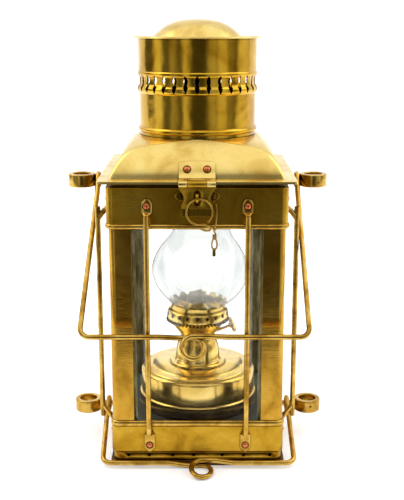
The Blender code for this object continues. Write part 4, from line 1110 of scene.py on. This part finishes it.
def makeSwingingLeaf():
    h, s = hasp, sheetHinge
    front = (-s["out"], s["height"])
    reach = s["barrel"] + s["room"]
    face = -h["plane"] - s["leaf"] / 2
    path = arcPoints(front, s["bend"], 0, 300, 36)[::-1] + [(-h["plane"], s["height"] - s["bend"] * 1.6)]
    path += arcPoints(
        (face + h["rollRadius"], h["rollHeight"]), h["rollRadius"] - s["leaf"] / 2, 180, 470, 36,
    )
    leaf = slabPiece(
        "hasp_swinging_leaf", stripOutline(path, s["leaf"]), -h["half"], h["half"], "X", agedSheet,
    )
    turn, waist, top, low = h["waistShare"], h["waist"], s["height"] - reach, h["rollHeight"] - 0.008
    for side in (-1, 1):
        rim = [(side * h["cutSide"], top)]
        for k in range(13):
            t = k / 12
            if t < turn:
                ease = 1 - math.sin(min(t * h["waistEase"], 1) * math.pi / 2)
                wide = waist + (h["half"] - waist) * ease
            else:
                wide = waist + (h["rollHalf"] - waist) * ((t - turn) / (1 - turn)) ** 1.5
            rim.append((side * wide, top - 0.0004 - h["waistTall"] * t))
        rim += [(side * h["rollHalf"], low), (side * h["cutSide"], low)]
        carve(leaf, slabPiece("waist_cutter", rim, -0.102, -0.08, "Y", agedSheet))
        ends = sorted((side * h["knuckleHalf"], side * 0.018))
        box = boxOutline((-0.102, top), (-0.08, s["height"] + reach + 0.001))
        carve(leaf, slabPiece("knuckle_cutter", box, ends[0], ends[1], "X", agedSheet))
    slot = arcPoints((0, h["slotHigh"] - h["slotHalf"]), h["slotHalf"], 0, 180, 12)
    slot += arcPoints((0, h["slotLow"] + h["slotHalf"]), h["slotHalf"], 180, 360, 12)
    carve(leaf, slabPiece("slot_cutter", slot, -0.0895, -0.085, "Y", agedSheet))
    # the folded free end stands a little proud of the leaf
    low, high = h["rollHeight"] - h["rollRadius"], h["rollHeight"] + h["foldRise"]
    half = h["rollHalf"] - 0.0002
    outline = boxOutline((face - h["foldProud"], low), (-h["plane"], high))
    wear(softenEdges(slabPiece("hasp_folded_end", outline, -half, half, "X", drumSheet), 0.0001, 2), "hasp")
    wear(softenEdges(leaf, s["soft"], 2), "hasp", ["hasp_leaf"])


def makePin(name, node, body, place, half):
    shape = bmesh.new()
    height = sheetHinge["height"]
    addBar(shape, (-half, place, height), (half, place, height), sheetHinge["pin"], 24)
    wear(softenEdges(finishMesh(shape, name, wireBrass), 0.0004), body, [node])


makeRoofLeaf()
makeSwingingLeaf()
makePin("hasp_pivot_pin", "hasp_pin", "hasp", -sheetHinge["out"], hasp["leafHalf"] + 0.0006)
makePin("back_pivot_pin", "hinge_pin", "roof", sheetHinge["out"], 0.0226)

# Back hinge: one leaf on the case and one on the roof, their edges curled round the pin in turn.
backHinge = {"half": 0.0220, "bottom": 0.2400, "knuckleHalf": 0.0072, "clear": 0.001}


def makeBackHinge():
    b, s = backHinge, sheetHinge
    proud = case["gap"] + s["leaf"] / 2
    reach, room = s["barrel"] + s["room"], b["knuckleHalf"] + s["room"]
    pin = (s["out"], s["height"])
    plane = case["topHalf"] + proud
    path = [(plane, b["bottom"]), (plane, case["topBandTop"] - s["leaf"])]
    path.append((plane + s["leaf"], s["height"] - s["bend"] - s["leaf"]))
    path += arcPoints(pin, s["bend"], -150, 120, 36)
    shape = bmesh.new()
    for low, high, line in ((-b["half"], -room, path), (room, b["half"], path), (-room, room, path[:3])):
        addSlab(shape, stripOutline(line, s["leaf"]), low, high, "X")
    leaf = softenEdges(finishMesh(shape, "back_case_leaf", agedSheet), s["soft"], 2)
    wear(leaf, "case", ["hinge_body_leaf"])
    lineHeight = s["height"] + s["bend"]
    path = [(roof["foot"] + 2 * proud, lineHeight), (roof["flangeHalf"] - proud, lineHeight)]
    path += arcPoints(pin, s["bend"], 90, -210, 36)
    leaf = slabPiece("back_roof_leaf", stripOutline(path, s["leaf"]), -b["half"], b["half"], "X", agedSheet)
    box = boxOutline((pin[0] - reach, pin[1] - reach), (pin[0] + reach + b["clear"], pin[1] + reach))
    for side in (-1, 1):
        ends = sorted((side * b["knuckleHalf"], side * (b["half"] + b["clear"])))
        carve(leaf, slabPiece("knuckle_cutter", box, ends[0], ends[1], "X", agedSheet))
    wear(softenEdges(leaf, s["soft"], 2), "roof", ["hinge_roof_leaf"])


makeBackHinge()

# Staple: an oval plate with a round nose, bored for the wire ring that locks the hasp.
linchRing = {
    "x": 0.0020, "z": 0.2415, "radius": 0.0113, "wire": 0.00088, "plane": 0.0892, "from": -52, "sweep": 342,
    "hookShares": ((0.42, -0.13), (0.68, -0.30), (0.60, -0.48), (0.30, -0.50), (-0.05, -0.36)),
}
staple = {
    "half": 0.0197, "height": 0.2540, "tall": 0.0064, "noseHalf": 0.0012, "low": 0.2492, "high": 0.2584,
    "nose": 0.0930,
    "eye": 0.0015, "eyeHeight": 0.2528, "eyeReach": 0.01, "sunk": 0.0004, "soft": 0.0003,
}


def makeStaple():
    t = staple
    back = case["topHalf"] + case["gap"]
    front = back + sheetHinge["leaf"]
    turns = [2 * math.pi * k / 64 for k in range(64)]
    oval = [(t["half"] * math.cos(a), t["height"] + t["tall"] * math.sin(a)) for a in turns]
    plate = softenEdges(slabPiece("staple_plate", oval, -front, -back, "Y", agedSheet), t["soft"])
    middle, tall, root = (t["low"] + t["high"]) / 2, (t["high"] - t["low"]) / 2, -(front - t["sunk"])
    line = [(root, t["low"]), (root, t["high"])]
    line += arcPoints((-(t["nose"] - tall), middle), tall, 90, 270, 24)
    nose = slabPiece("nose", line, -t["noseHalf"], t["noseHalf"], "X", agedSheet)
    shape = bmesh.new()
    reach, plane = t["eyeReach"], -linchRing["plane"]
    addBar(shape, (-reach, plane, t["eyeHeight"]), (reach, plane, t["eyeHeight"]), t["eye"], 20)
    carve(nose, finishMesh(shape, "eye_cutter", agedSheet))
    joinInto(plate, softenEdges(nose, t["soft"]))
    wear(plate, "case", ["staple"])


def makeLinchRing():
    r = linchRing
    big, plane = r["radius"], -r["plane"]
    line = []
    for k in range(49):
        a = math.radians(r["from"] + r["sweep"] * k / 48)
        line.append(Vector((r["x"] + big * math.cos(a), plane, r["z"] + big * math.sin(a))))
    # the wire goes on from the ring's end and hooks back under it
    end = line[-1]
    hook = [Vector(((end.x + r["x"]) / 2 + a * big, plane, end.z + d * big)) for a, d in r["hookShares"]]
    path = line[:-1] + smoothPath([end] + hook, 6)
    shape = bmesh.new()
    addSweep(shape, path, [(r["wire"], r["wire"])] * len(path), (0, 1, 0), 14)
    wear(finishMesh(shape, "linch_wire_ring", wireBrass, 60), "linch_ring", ["linch_ring"])


makeStaple()
makeLinchRing()

# Safety chain: a link on the plate, a wire shank, a swivel ball and a teardrop loop with its end bound.
chain = {
    "wire": 0.00072, "plane": 0.0852, "seat": 0.0829, "topX": 0.0144, "sideX": 0.0166, "lowX": 0.0150,
    "pivot": 0.2490,
    "shankHeights": (0.2462, 0.2400, 0.2318, 0.2262), "ballHeight": 0.2250, "ballRadius": 0.00155,
    "ballHalf": 0.0015,
    "neckHeights": (0.2238, 0.2208, 0.2188), "loopHeight": 0.2128, "loopHalf": 0.0052, "loopWide": 0.0029,
    "tabHeights": (0.2085, 0.2022, 0.2015), "tabHalves": (0.0013, 0.0014, 0.0008), "tabX": -0.0003,
    "tabThick": 0.0006,
    "bindings": 4, "bindHeight": 0.2205, "bindPitch": 0.0011, "bindRadius": 0.00145, "bindSlant": 0.0004,
    "bindShare": 0.62,
}


def makeChain():
    c = chain
    shape = bmesh.new()
    seat, plane, w, x = c["seat"], c["plane"], c["wire"], c["lowX"]

    def wire(points, steps=6, radius=w):
        path = smoothPath([Vector(p) for p in points], steps)
        addSweep(shape, path, [(radius, radius)] * len(path), (0, 1, 0), 12)

    shank = [
        (c["topX"] - 0.0008, -seat, c["pivot"] + 0.0012), (c["topX"] + 0.0006, -seat, c["pivot"] - 0.0006),
    ]
    sides = (c["sideX"], c["sideX"] + 0.0004, c["sideX"] - 0.0002, x)
    wire(shank + [(side, -plane, z) for side, z in zip(sides, c["shankHeights"])])
    ball = [
        (c["ballRadius"] * math.sin(math.pi * k / 12), -c["ballHalf"] * math.cos(math.pi * k / 12))
        for k in range(13)
    ]
    ball[0], ball[-1] = (0, ball[0][1]), (0, ball[-1][1])
    lump = bmesh.new()
    addTurned(lump, ball, 20, False)
    bmesh.ops.translate(lump, verts=lump.verts, vec=(x, -plane, c["ballHeight"]))
    mergeInto(shape, lump)
    # the loop: down one side, round the bottom and up again, crossing near the top
    loop = list(zip((x - 0.0004, x + 0.0012, x - 0.0006), c["neckHeights"]))
    for degrees in (-25, -60, -95, -130, -165, -195, -230, -265, -300, -335):
        a = math.radians(degrees)
        wide = c["loopWide"] * (0.55 + 0.45 * (1 - math.cos(a)) / 2)
        loop.append((x + wide * math.sin(a), c["loopHeight"] + c["loopHalf"] * math.cos(a)))
    wire([(a, -plane, z) for a, z in loop], 5)
    tabX = x + c["tabX"]
    right = [(tabX + half, z) for half, z in zip(c["tabHalves"], c["tabHeights"])]
    left = [(tabX - half, z) for half, z in zip(c["tabHalves"], c["tabHeights"])]
    tab = bmesh.new()
    addSlab(tab, right + left[::-1], -plane - c["tabThick"], -plane + c["tabThick"], "Y")
    mergeInto(shape, tab)
    for k in range(c["bindings"]):
        z, radius = c["bindHeight"] - c["bindPitch"] * k, c["bindRadius"]
        turns = [2 * math.pi * j / 10 for j in range(11)]
        coil = [
            (x + radius * math.cos(a), -plane + radius * math.sin(a), z - c["bindSlant"] * a / 6.3)
            for a in turns
        ]
        wire(coil, 2, w * c["bindShare"])
    wear(finishMesh(shape, "safety_wire", wireBrass, 50), "safety_chain", ["safety_chain"])


makeChain()
print("hasp, hinge, staple and chain made")


def newTree(name, sockets, result):
    # a geometry tree with named inputs, and each input's identifier under its name
    tree = bpy.data.node_groups.new(name, "GeometryNodeTree")
    names = {}
    for label, kind in sockets.items():
        names[label] = tree.interface.new_socket(
            label, in_out="INPUT", socket_type="NodeSocket" + kind,
        ).identifier
    tree.interface.new_socket(result, in_out="OUTPUT", socket_type="NodeSocketGeometry")
    return tree, names, addNode(tree, "NodeGroupInput")


def runTree(name, mesh, tree, names, values):
    piece = bpy.data.objects.new(name, mesh)
    bpy.context.scene.collection.objects.link(piece)
    step = piece.modifiers.new("nodes", "NODES")
    step.node_group = tree
    for label, value in values.items():
        step[names[label]] = value
    return plainMesh(piece)


# Rivets by geometry nodes: one tree puts a domed head on each point, square to the point's stored facing,
# with a dark disc under it that is painted shade round the head's foot.
rivets = {
    "headRadius": 0.0028, "headHeight": 0.0016, "topHeight": 0.2452, "lowHeight": 0.0210,
    "plateX": 0.0144, "plateHeight": 0.2540, "leafX": 0.0087, "leafHeight": 0.2765, "leafSeat": 0.0002,
}


def rivetTree():
    sockets = {
        "Points": "Geometry", "Head Radius": "Float", "Head Height": "Float", "Metal": "Material",
        "Painted Shade Ring": "Material",
    }
    tree, names, given = newTree("rivet heads", sockets, "Rivets")
    radius, height = given.outputs["Head Radius"], given.outputs["Head Height"]
    facing = addNode(tree, "GeometryNodeInputNamedAttribute", {"Name": "facing"}, data_type="FLOAT_VECTOR")
    turn = addNode(tree, "FunctionNodeAlignRotationToVector", {"Vector": facing.outputs[0]}, axis="Z")

    def onPoints(shape, across, tall, metal):
        size = addNode(tree, "ShaderNodeCombineXYZ", {0: across, 1: across, 2: tall})
        sized = addNode(
            tree, "GeometryNodeTransform", {"Geometry": shape.outputs["Mesh"], "Scale": size.outputs[0]},
        )
        inputs = {
            "Points": given.outputs["Points"], "Instance": sized.outputs[0], "Rotation": turn.outputs[0],
        }
        spread = addNode(tree, "GeometryNodeInstanceOnPoints", inputs)
        real = addNode(tree, "GeometryNodeRealizeInstances", {0: spread.outputs[0]})
        return addNode(
            tree, "GeometryNodeSetMaterial",
            {"Geometry": real.outputs[0], "Material": given.outputs[metal]},
        )

    ball = addNode(tree, "GeometryNodeMeshUVSphere", {"Segments": 28, "Rings": 16, "Radius": 1.0})
    head = onPoints(ball, radius, height, "Metal")
    # the dark disc, a little wider than the head and very flat: painted shade round the head's foot
    disc = addNode(tree, "GeometryNodeMeshCylinder", {"Vertices": 28, "Radius": 1.0, "Depth": 1.0})
    flat = addNode(tree, "ShaderNodeMath", {0: height, 1: 0.24}, operation="MULTIPLY")
    wide = addNode(tree, "ShaderNodeMath", {0: radius, 1: 1.28}, operation="MULTIPLY")
    dark = onPoints(disc, wide.outputs[0], flat.outputs[0], "Painted Shade Ring")
    both = addNode(tree, "GeometryNodeJoinGeometry")
    tree.links.new(head.outputs[0], both.inputs[0])
    tree.links.new(dark.outputs[0], both.inputs[0])
    addNode(tree, "NodeGroupOutput", {0: both.outputs[0]})
    return tree, names


def makeRivets():
    tree, names = rivetTree()
    r, leaf = rod, sheetHinge["leaf"]
    guard, guardNodes = [], []
    for rodName, spot, turn in rodPlaces():
        way = Matrix.Rotation(turn, 3, "Z")
        for endName, plane, height in (
            ("top", r["topPlane"], rivets["topHeight"]), ("low", r["lowPlane"], rivets["lowHeight"]),
        ):
            place = way @ Vector((0, -(plane + r["tabThick"]), height)) + Vector((*spot, 0))
            guard.append((place, way @ Vector((0, -1, 0))))
            guardNodes.append("guard_rivet_" + rodName + "_" + endName)
    front = case["topHalf"] + case["gap"] + leaf
    plate = [
        (Vector((x, -front, rivets["plateHeight"])), Vector((0, -1, 0)))
        for x in (-rivets["plateX"], rivets["plateX"])
    ]
    # the roof leaf's rivets face the way that the dome slopes there
    height = rivets["leafHeight"]
    out = Vector((0, -0.006, domeOut(height - 0.003) - domeOut(height + 0.003))).normalized()
    face = domeOut(height) + (case["gap"] + leaf / 2) * hasp["domeShare"] + leaf / 2 + rivets["leafSeat"]
    onLeaf = [(Vector((x, -face, height)), out) for x in (-rivets["leafX"], rivets["leafX"])]
    for name, body, put, replaced, metal in (
        ("guard_rivets", "case", guard, guardNodes, copper),
        ("plate_rivets", "case", plate, ["plate_rivet_left", "plate_rivet_right"], tarnishAndShadeBrass),
        ("leaf_rivets", "roof", onLeaf, ["leaf_rivet_left", "leaf_rivet_right"], copper),
    ):
        mesh = bpy.data.meshes.new(name)
        mesh.from_pydata([tuple(point) for point, _ in put], [], [])
        facing = mesh.attributes.new("facing", "FLOAT_VECTOR", "POINT")
        facing.data.foreach_set("vector", [value for _, way in put for value in way])
        values = {
            "Head Radius": rivets["headRadius"], "Head Height": rivets["headHeight"], "Metal": metal,
            "Painted Shade Ring": tarnishAndShadeBrass,
        }
        piece = runTree(name, mesh, tree, names, values)
        piece.data.shade_smooth()
        piece.data.set_sharp_from_angle(angle=math.radians(50))
        wear(piece, body, replaced)


makeRivets()
print("rivets made")


def barTree():
    # a ring of round bars that point outward: they pierce the burner, crimp the font and bead the basket
    sockets = {
        "Count": "Int", "Ring Radius": "Float", "Height": "Float", "Bar Radius": "Float",
        "Bar Length": "Float",
    }
    tree, names, given = newTree("ring of bars", sockets, "Bars")
    circle = addNode(
        tree, "GeometryNodeMeshCircle",
        {"Vertices": given.outputs["Count"], "Radius": given.outputs["Ring Radius"]},
    )
    lifted = addNode(tree, "ShaderNodeCombineXYZ", {2: given.outputs["Height"]})
    put = addNode(tree, "GeometryNodeInputPosition")
    turn = addNode(tree, "FunctionNodeAlignRotationToVector", {"Vector": put.outputs[0]}, axis="Z")
    sizes = {"Vertices": 20, "Radius": given.outputs["Bar Radius"], "Depth": given.outputs["Bar Length"]}
    bar = addNode(tree, "GeometryNodeMeshCylinder", sizes)
    inputs = {"Points": circle.outputs[0], "Instance": bar.outputs["Mesh"], "Rotation": turn.outputs[0]}
    spread = addNode(tree, "GeometryNodeInstanceOnPoints", inputs)
    moved = addNode(
        tree, "GeometryNodeTransform", {"Geometry": spread.outputs[0], "Translation": lifted.outputs[0]},
    )
    real = addNode(tree, "GeometryNodeRealizeInstances", {0: moved.outputs[0]})
    finish = addNode(tree, "GeometryNodeSetMaterial", {"Geometry": real.outputs[0], "Material": lampBrass})
    addNode(tree, "NodeGroupOutput", {0: finish.outputs[0]})
    return tree, names


ringBars = barTree()


def ringOfBars(count, radius, height, bar, length):
    values = {
        "Count": count, "Ring Radius": radius, "Height": height, "Bar Radius": bar, "Bar Length": length,
    }
    return runTree("bar_cutter", bpy.data.meshes.new("bar_cutter"), *ringBars, values)


# Oil font: spun brass with a crimped foot, a soft shoulder and a stepped top with a pressed disc.
font = {
    "foot": 0.0438, "edge": 0.0572, "radius": 0.0556, "wallLow": 0.0560, "shoulder": 0.0680,
    "shoulderRise": 0.0040,
    "step": 0.0508, "stepHeight": 0.0720, "disc": 0.0430, "top": 0.0736, "mouth": 0.0120, "sheet": 0.001,
    "ease": 0.0012,
    "rim": (
        (-0.0006, 0.0), (0.0, 0.0005), (0.0, 0.0018), (-0.0005, 0.0024),
    ),  # out from the edge and up from the foot
    "crimps": 72, "crimpOut": 0.0007, "crimpUp": 0.0012, "crimpRadius": 0.0009, "crimpLong": 0.0022,
}


def makeFont():
    p = font
    s, foot, radius, step = p["sheet"], p["foot"], p["radius"], p["step"]
    shoulder = p["shoulder"] - p["ease"]
    profile = [(0, foot)] + [(p["edge"] + out, foot + up) for out, up in p["rim"]]
    profile += [(radius, foot + 0.0030), (radius, p["wallLow"]), (radius, shoulder)]
    for a in (0.25, 0.5, 0.8, 1.1, 1.4):
        profile.append((step + (radius - step) * math.cos(a), shoulder + p["shoulderRise"] * math.sin(a)))
    profile += [(step, p["stepHeight"] - 0.0010), (step - 0.0008, p["stepHeight"])]
    profile += [
        (p["disc"] + p["ease"], p["stepHeight"] + 0.0003), (p["disc"], p["top"] - 0.0003),
        (p["disc"] - 0.0006, p["top"]),
    ]
    profile += [(p["mouth"], p["top"]), (p["mouth"], p["top"] - s), (p["disc"] - 2 * s, p["top"] - s)]
    profile += [
        (step - 2 * s, p["stepHeight"] - s), (radius - s, p["shoulder"] - 2 * s), (radius - s, foot + s),
        (0, foot + s),
    ]
    shape = bmesh.new()
    addTurned(shape, profile, 120, False)
    piece = finishMesh(shape, "oil_font_drum", lampBrass, 40)
    carve(
        piece,
        ringOfBars(
            p["crimps"], p["edge"] + p["crimpOut"], foot + p["crimpUp"], p["crimpRadius"], p["crimpLong"],
        ),
    )
    piece.data.set_sharp_from_angle(angle=math.radians(35))
    wear(piece, "lamp", ["oil_font"])


# Burner: a collar, a waisted neck, a pierced basket and a scalloped crown round the wick's dome.
wheel = {
    "x": 0.0175, "y": -0.0060, "z": 0.1066, "slant": 22, "bore": 0.0016, "boreBack": 0.0085,
    "boreFront": 0.014,
    "sides": 96, "toothSides": 3, "toothShare": 0.94, "milledFrom": 0.0062,
    # radius and place along the spindle: the small toothed wheel, the spindle, its collar and the milled rim
    "profile": (
        (0, -0.0225), (0.0013, -0.0225), (0.0013, -0.0201), (0.0045, -0.0201), (0.0045, -0.0189),
        (0.0013, -0.0189),
        (0.0013, 0.0140), (0.0026, 0.0144), (0.0026, 0.0158), (0.0066, 0.0160), (0.0075, 0.0166),
        (0.0075, 0.0188),
        (0.0066, 0.0194), (0.0056, 0.0193), (0.0050, 0.0186), (0.0022, 0.0186), (0.0018, 0.0194),
        (0, 0.0194),
    ),
}
burner = {
    "sheet": 0.001, "collar": 0.0273, "collarFoot": 0.0739, "collarTop": 0.0765, "neckFoot": 0.0215,
    "neckFootRise": 0.0008,
    # radii and heights up the neck, and round the basket's belly
    "neck": ((0.0210, 0.0880), (0.01953, 0.0940), (0.0170, 0.1000), (0.0184, 0.1045)),
    "basket": ((0.0245, 0.1125), (0.0296, 0.1195), (0.0300, 0.1235), (0.0288, 0.1280)),
    "gallery": 0.0260, "galleryHeight": 0.1300, "crown": 0.0243,
    "crownLip": ((0.0016, 0.1322), (0.0022, 0.1345), (0.0040, 0.1368), (0.0036, 0.1374), (0.0014, 0.1350)),
    "domeRadius": 0.0140, "domeTop": 0.1350, "holeRadius": 0.0089,
    # how many, at what radius and height, and each one's radius and length
    "holes": (20, 0.0290, 0.1252, 0.0020, 0.008), "smallHoles": (40, 0.0290, 0.1212, 0.0006, 0.008),
    "scallops": (16, 0.0268, 0.1372, 0.0027, 0.008), "beads": (52, 0.0296, 0.1182, 0.0011, 0.0022),
    "sootAndShadeLow": 0.105, "sootAndShadeHigh": 0.1285, "sootAndShadeShare": 0.35,
}


def spindleWay():
    slant = math.radians(wheel["slant"])
    return Vector((math.cos(slant), 0, math.sin(slant)))


def makeBurner():
    p = burner
    s, gallery, high, inDome = p["sheet"], p["gallery"], p["galleryHeight"], p["domeRadius"]
    neckFoot = (p["neckFoot"], p["collarTop"] + s + p["neckFootRise"])
    outline = [
        (p["collar"], p["collarFoot"]), (p["collar"], p["collarTop"] - 0.0006),
        (p["collar"] - 0.0006, p["collarTop"]),
    ]
    outline += [(p["neckFoot"] + 0.0012, p["collarTop"] + 0.0002), neckFoot]
    waist = [neckFoot, *p["neck"], *p["basket"], (gallery, high)]
    outline += smoothPairs(waist, 5)[1:]
    outline += [
        (p["crown"] + out, z)
        for out, z in p["crownLip"]
    ] + [(p["crown"] + 0.0006, high + s), (inDome, high)]
    for a in (0.4, 0.8, 1.2, 1.57):
        outline.append(
            (inDome - (inDome - p["holeRadius"]) * math.sin(a), high + (p["domeTop"] - high) * math.sin(a))
        )
    outline += [(p["holeRadius"], p["domeTop"] - s), (inDome - s, high - s), (gallery - 2 * s, high - s)]
    inner = [(a - s, b) for a, b in reversed(smoothPairs(waist, 3))]
    outline += inner[1:-1] + [(p["neckFoot"] - s, p["collarFoot"])]
    shape = bmesh.new()
    addTurned(shape, outline, 96)
    piece = finishMesh(shape, "pierced_burner", lampBrass, 40)
    for ring in (p["holes"], p["smallHoles"], p["scallops"]):
        carve(piece, ringOfBars(*ring))
    cross, way = Vector((wheel["x"], wheel["y"], wheel["z"])), spindleWay()
    shape = bmesh.new()
    addBar(shape, cross - way * wheel["boreBack"], cross + way * wheel["boreFront"], wheel["bore"], 20)
    carve(piece, finishMesh(shape, "bore_cutter", lampBrass))
    joinInto(piece, ringOfBars(*p["beads"]))

    # soot and painted shade darken the basket's inside, its holes' walls and the gaps between the beads; in
    # the holes' walls and the bead gaps the dark is painted shade
    def sootyAndShaded(face):
        outward = face.center.x * face.normal.x + face.center.y * face.normal.y
        reach = math.hypot(face.center.x, face.center.y)
        return p["sootAndShadeLow"] < face.center.z < p["sootAndShadeHigh"] and outward < p["sootAndShadeShare"] * reach

    sootAndShadeFaces(piece, sootyAndShaded)
    wear(piece, "lamp", ["burner"])


def makeWheel():
    # the milled wheel on its slanting spindle
    w = wheel
    shape = bmesh.new()
    addTurned(shape, w["profile"], w["sides"], False)
    for vert in shape.verts:
        if math.hypot(vert.co.x, vert.co.y) > w["milledFrom"] and vert.co.z > 0:
            side = round(math.atan2(vert.co.y, vert.co.x) / (2 * math.pi) * w["sides"])
            share = w["toothShare"] if side % w["toothSides"] == 0 else 1
            vert.co.x, vert.co.y = vert.co.x * share, vert.co.y * share
    tilt = Matrix.Rotation(math.pi / 2 - math.radians(w["slant"]), 4, "Y")
    shape.transform(Matrix.Translation((w["x"], w["y"], w["z"])) @ tilt)
    wear(finishMesh(shape, "milled_wick_wheel", lampBrass, 30), "wick_wheel", ["wick_wheel"])


# Wick: flat cotton with a soft, slightly uneven top edge, leaning over to the left where it is free.
wick = {
    "half": 0.0085, "thick": 0.0012, "low": 0.0820, "high": 0.1462, "fray": 0.0005, "tip": 0.0008,
    "tipShare": 0.55,
    "freeFrom": 0.1335, "lean": 0.0040, "slope": 0.42, "drop": 0.0005, "narrow": 0.12,
}


def makeWick():
    w = wick
    half, low, high = w["half"], w["low"], w["high"]
    random.seed(4)
    rings = []
    for k in range(33):
        x, far = -half + 2 * half * (k / 32), abs(2 * k / 32 - 1)
        full = w["thick"] * min(1.0, math.sqrt(max(1 - far**6, 0.0)) + 0.15)
        tip = high - 0.0004 - 0.0010 * far**3 - random.random() * w["fray"]
        back = [
            (-full, low), (-full, (low + high) / 2), (-full, tip - w["tip"]), (-full * w["tipShare"], tip),
        ]
        rings.append([Vector((x, y, z)) for y, z in back + [(-y, z) for y, z in reversed(back)]])
    for point in [point for ring in rings for point in ring]:
        if point.z > w["freeFrom"]:
            rise = (point.z - w["freeFrom"]) / (high - w["freeFrom"])
            point.z += rise * (point.x * w["slope"] - w["drop"])
            point.x = point.x * (1 - w["narrow"] * rise) - w["lean"] * rise
    shape = bmesh.new()
    addRings(shape, rings)
    wear(finishMesh(shape, "cotton_wick", wickCotton, 50), "wick", ["wick"])


# Chimney glass: blown, with a round bulb low down and a straight neck, standing a little askew in its crown.
chimneyGlass = {
    "foot": 0.1314, "wall": 0.0012, "shift": 0.0008, "tilt": 2.6,
    # radii and heights up the outer face
    "line": (
        (0.0232, 0.1314), (0.0246, 0.1330), (0.0285, 0.1352), (0.0335, 0.1395), (0.0390, 0.1460),
        (0.0443, 0.1555), (0.0470, 0.1670),
        (0.0446, 0.1785), (0.0388, 0.1900), (0.0325, 0.1985), (0.0280, 0.2060), (0.0250, 0.2170),
        (0.0240, 0.2300), (0.0240, 0.2800),
    ),
}


def makeGlass():
    g = chimneyGlass
    foot = g["foot"]
    line = smoothPairs(g["line"], 5)
    shape = bmesh.new()
    addTurned(
        shape, [(r, z - foot) for r, z in line] + [(r - g["wall"], z - foot) for r, z in reversed(line)],
        96,
    )
    shape.transform(
        Matrix.Translation((g["shift"], 0, foot)) @ Matrix.Rotation(math.radians(g["tilt"]), 4, "Y")
    )
    wear(
        finishMesh(shape, "lamp_chimney_glass", bulbGlass, 60), "lamp_glass", ["lamp_glass"],
    )


# Seat: a spun ring on the case's floor, its lip turned up round the font's foot.
seatProfile = (
    (0.0540, 0.0318), (0.0540, 0.0330), (0.0498, 0.0331), (0.0492, 0.0337), (0.0492, 0.0429),
    (0.0489, 0.0434),
    (0.0483, 0.0434), (0.0480, 0.0429), (0.0480, 0.0318),
)


def makeSeat():
    shape = bmesh.new()
    addTurned(shape, seatProfile, 96)
    wear(finishMesh(shape, "font_seat_ring", tarnishAndShadeBrass, 40), "case", ["lamp_seat"])


makeFont()
makeBurner()
makeWheel()
makeWick()
makeGlass()
makeSeat()
print("lamp made")

# CAD parts that stay as they are get their finishes; a name that ends in _ stands for a family of parts.
finishes = {"floor_plate": floorPatina, "top_frame": tarnishAndShadeBrass, "guide_": tarnish, "pane_": paneGlass}
for nodeName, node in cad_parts.items():
    for key, finish in finishes.items():
        if nodeName == key or (key.endswith("_") and nodeName.startswith(key)):
            for k in range(len(node.data.materials)):
                node.data.materials[k] = finish

# Floor: a pale table that curves up behind, lit from within further back so that it fades into the backdrop.
table = {
    "front": -0.40, "back": 1.2, "bend": 0.6, "top": 3.0, "half": 3.0, "glowFrom": -0.34, "glowTo": -0.18,
    "glow": 0.36,
}


def makeFloor():
    t = table
    made, tree, shader = newMaterial("pale table top")
    where = addNode(tree, "ShaderNodeTexCoord").outputs["Object"]
    mottle = addNode(tree, "ShaderNodeTexNoise", {"Vector": where, "Scale": 3.0, "Detail": 3.0})
    tones = {0: mottle.outputs[0], 6: linear("#f3f3f3"), 7: linear("#fbfbfb")}
    tone = addNode(tree, "ShaderNodeMix", tones, data_type="RGBA")
    place = addNode(tree, "ShaderNodeSeparateXYZ", {0: where})
    fade = {0: place.outputs["Y"], 1: t["glowFrom"], 2: t["glowTo"], 3: 0.0, 4: t["glow"]}
    glow = addNode(tree, "ShaderNodeMapRange", fade)
    feed(
        tree, shader,
        {
            "Base Color": tone.outputs[2], "Roughness": 0.8, "Emission Color": (1, 1, 1, 1),
            "Emission Strength": glow.outputs[0],
        },
    )
    back, bend = t["back"], t["bend"]
    line = [(t["front"], 0.0)] + arcPoints((back, bend), bend, -90, 0, 12) + [(back + bend, t["top"])]
    shape = bmesh.new()
    rows = [[shape.verts.new((x, y, z)) for x in (-t["half"], t["half"])] for y, z in line]
    for low, high in zip(rows, rows[1:]):
        shape.faces.new((low[0], low[1], high[1], high[0]))
    finishMesh(shape, "table", made, 60, False)


makeFloor()
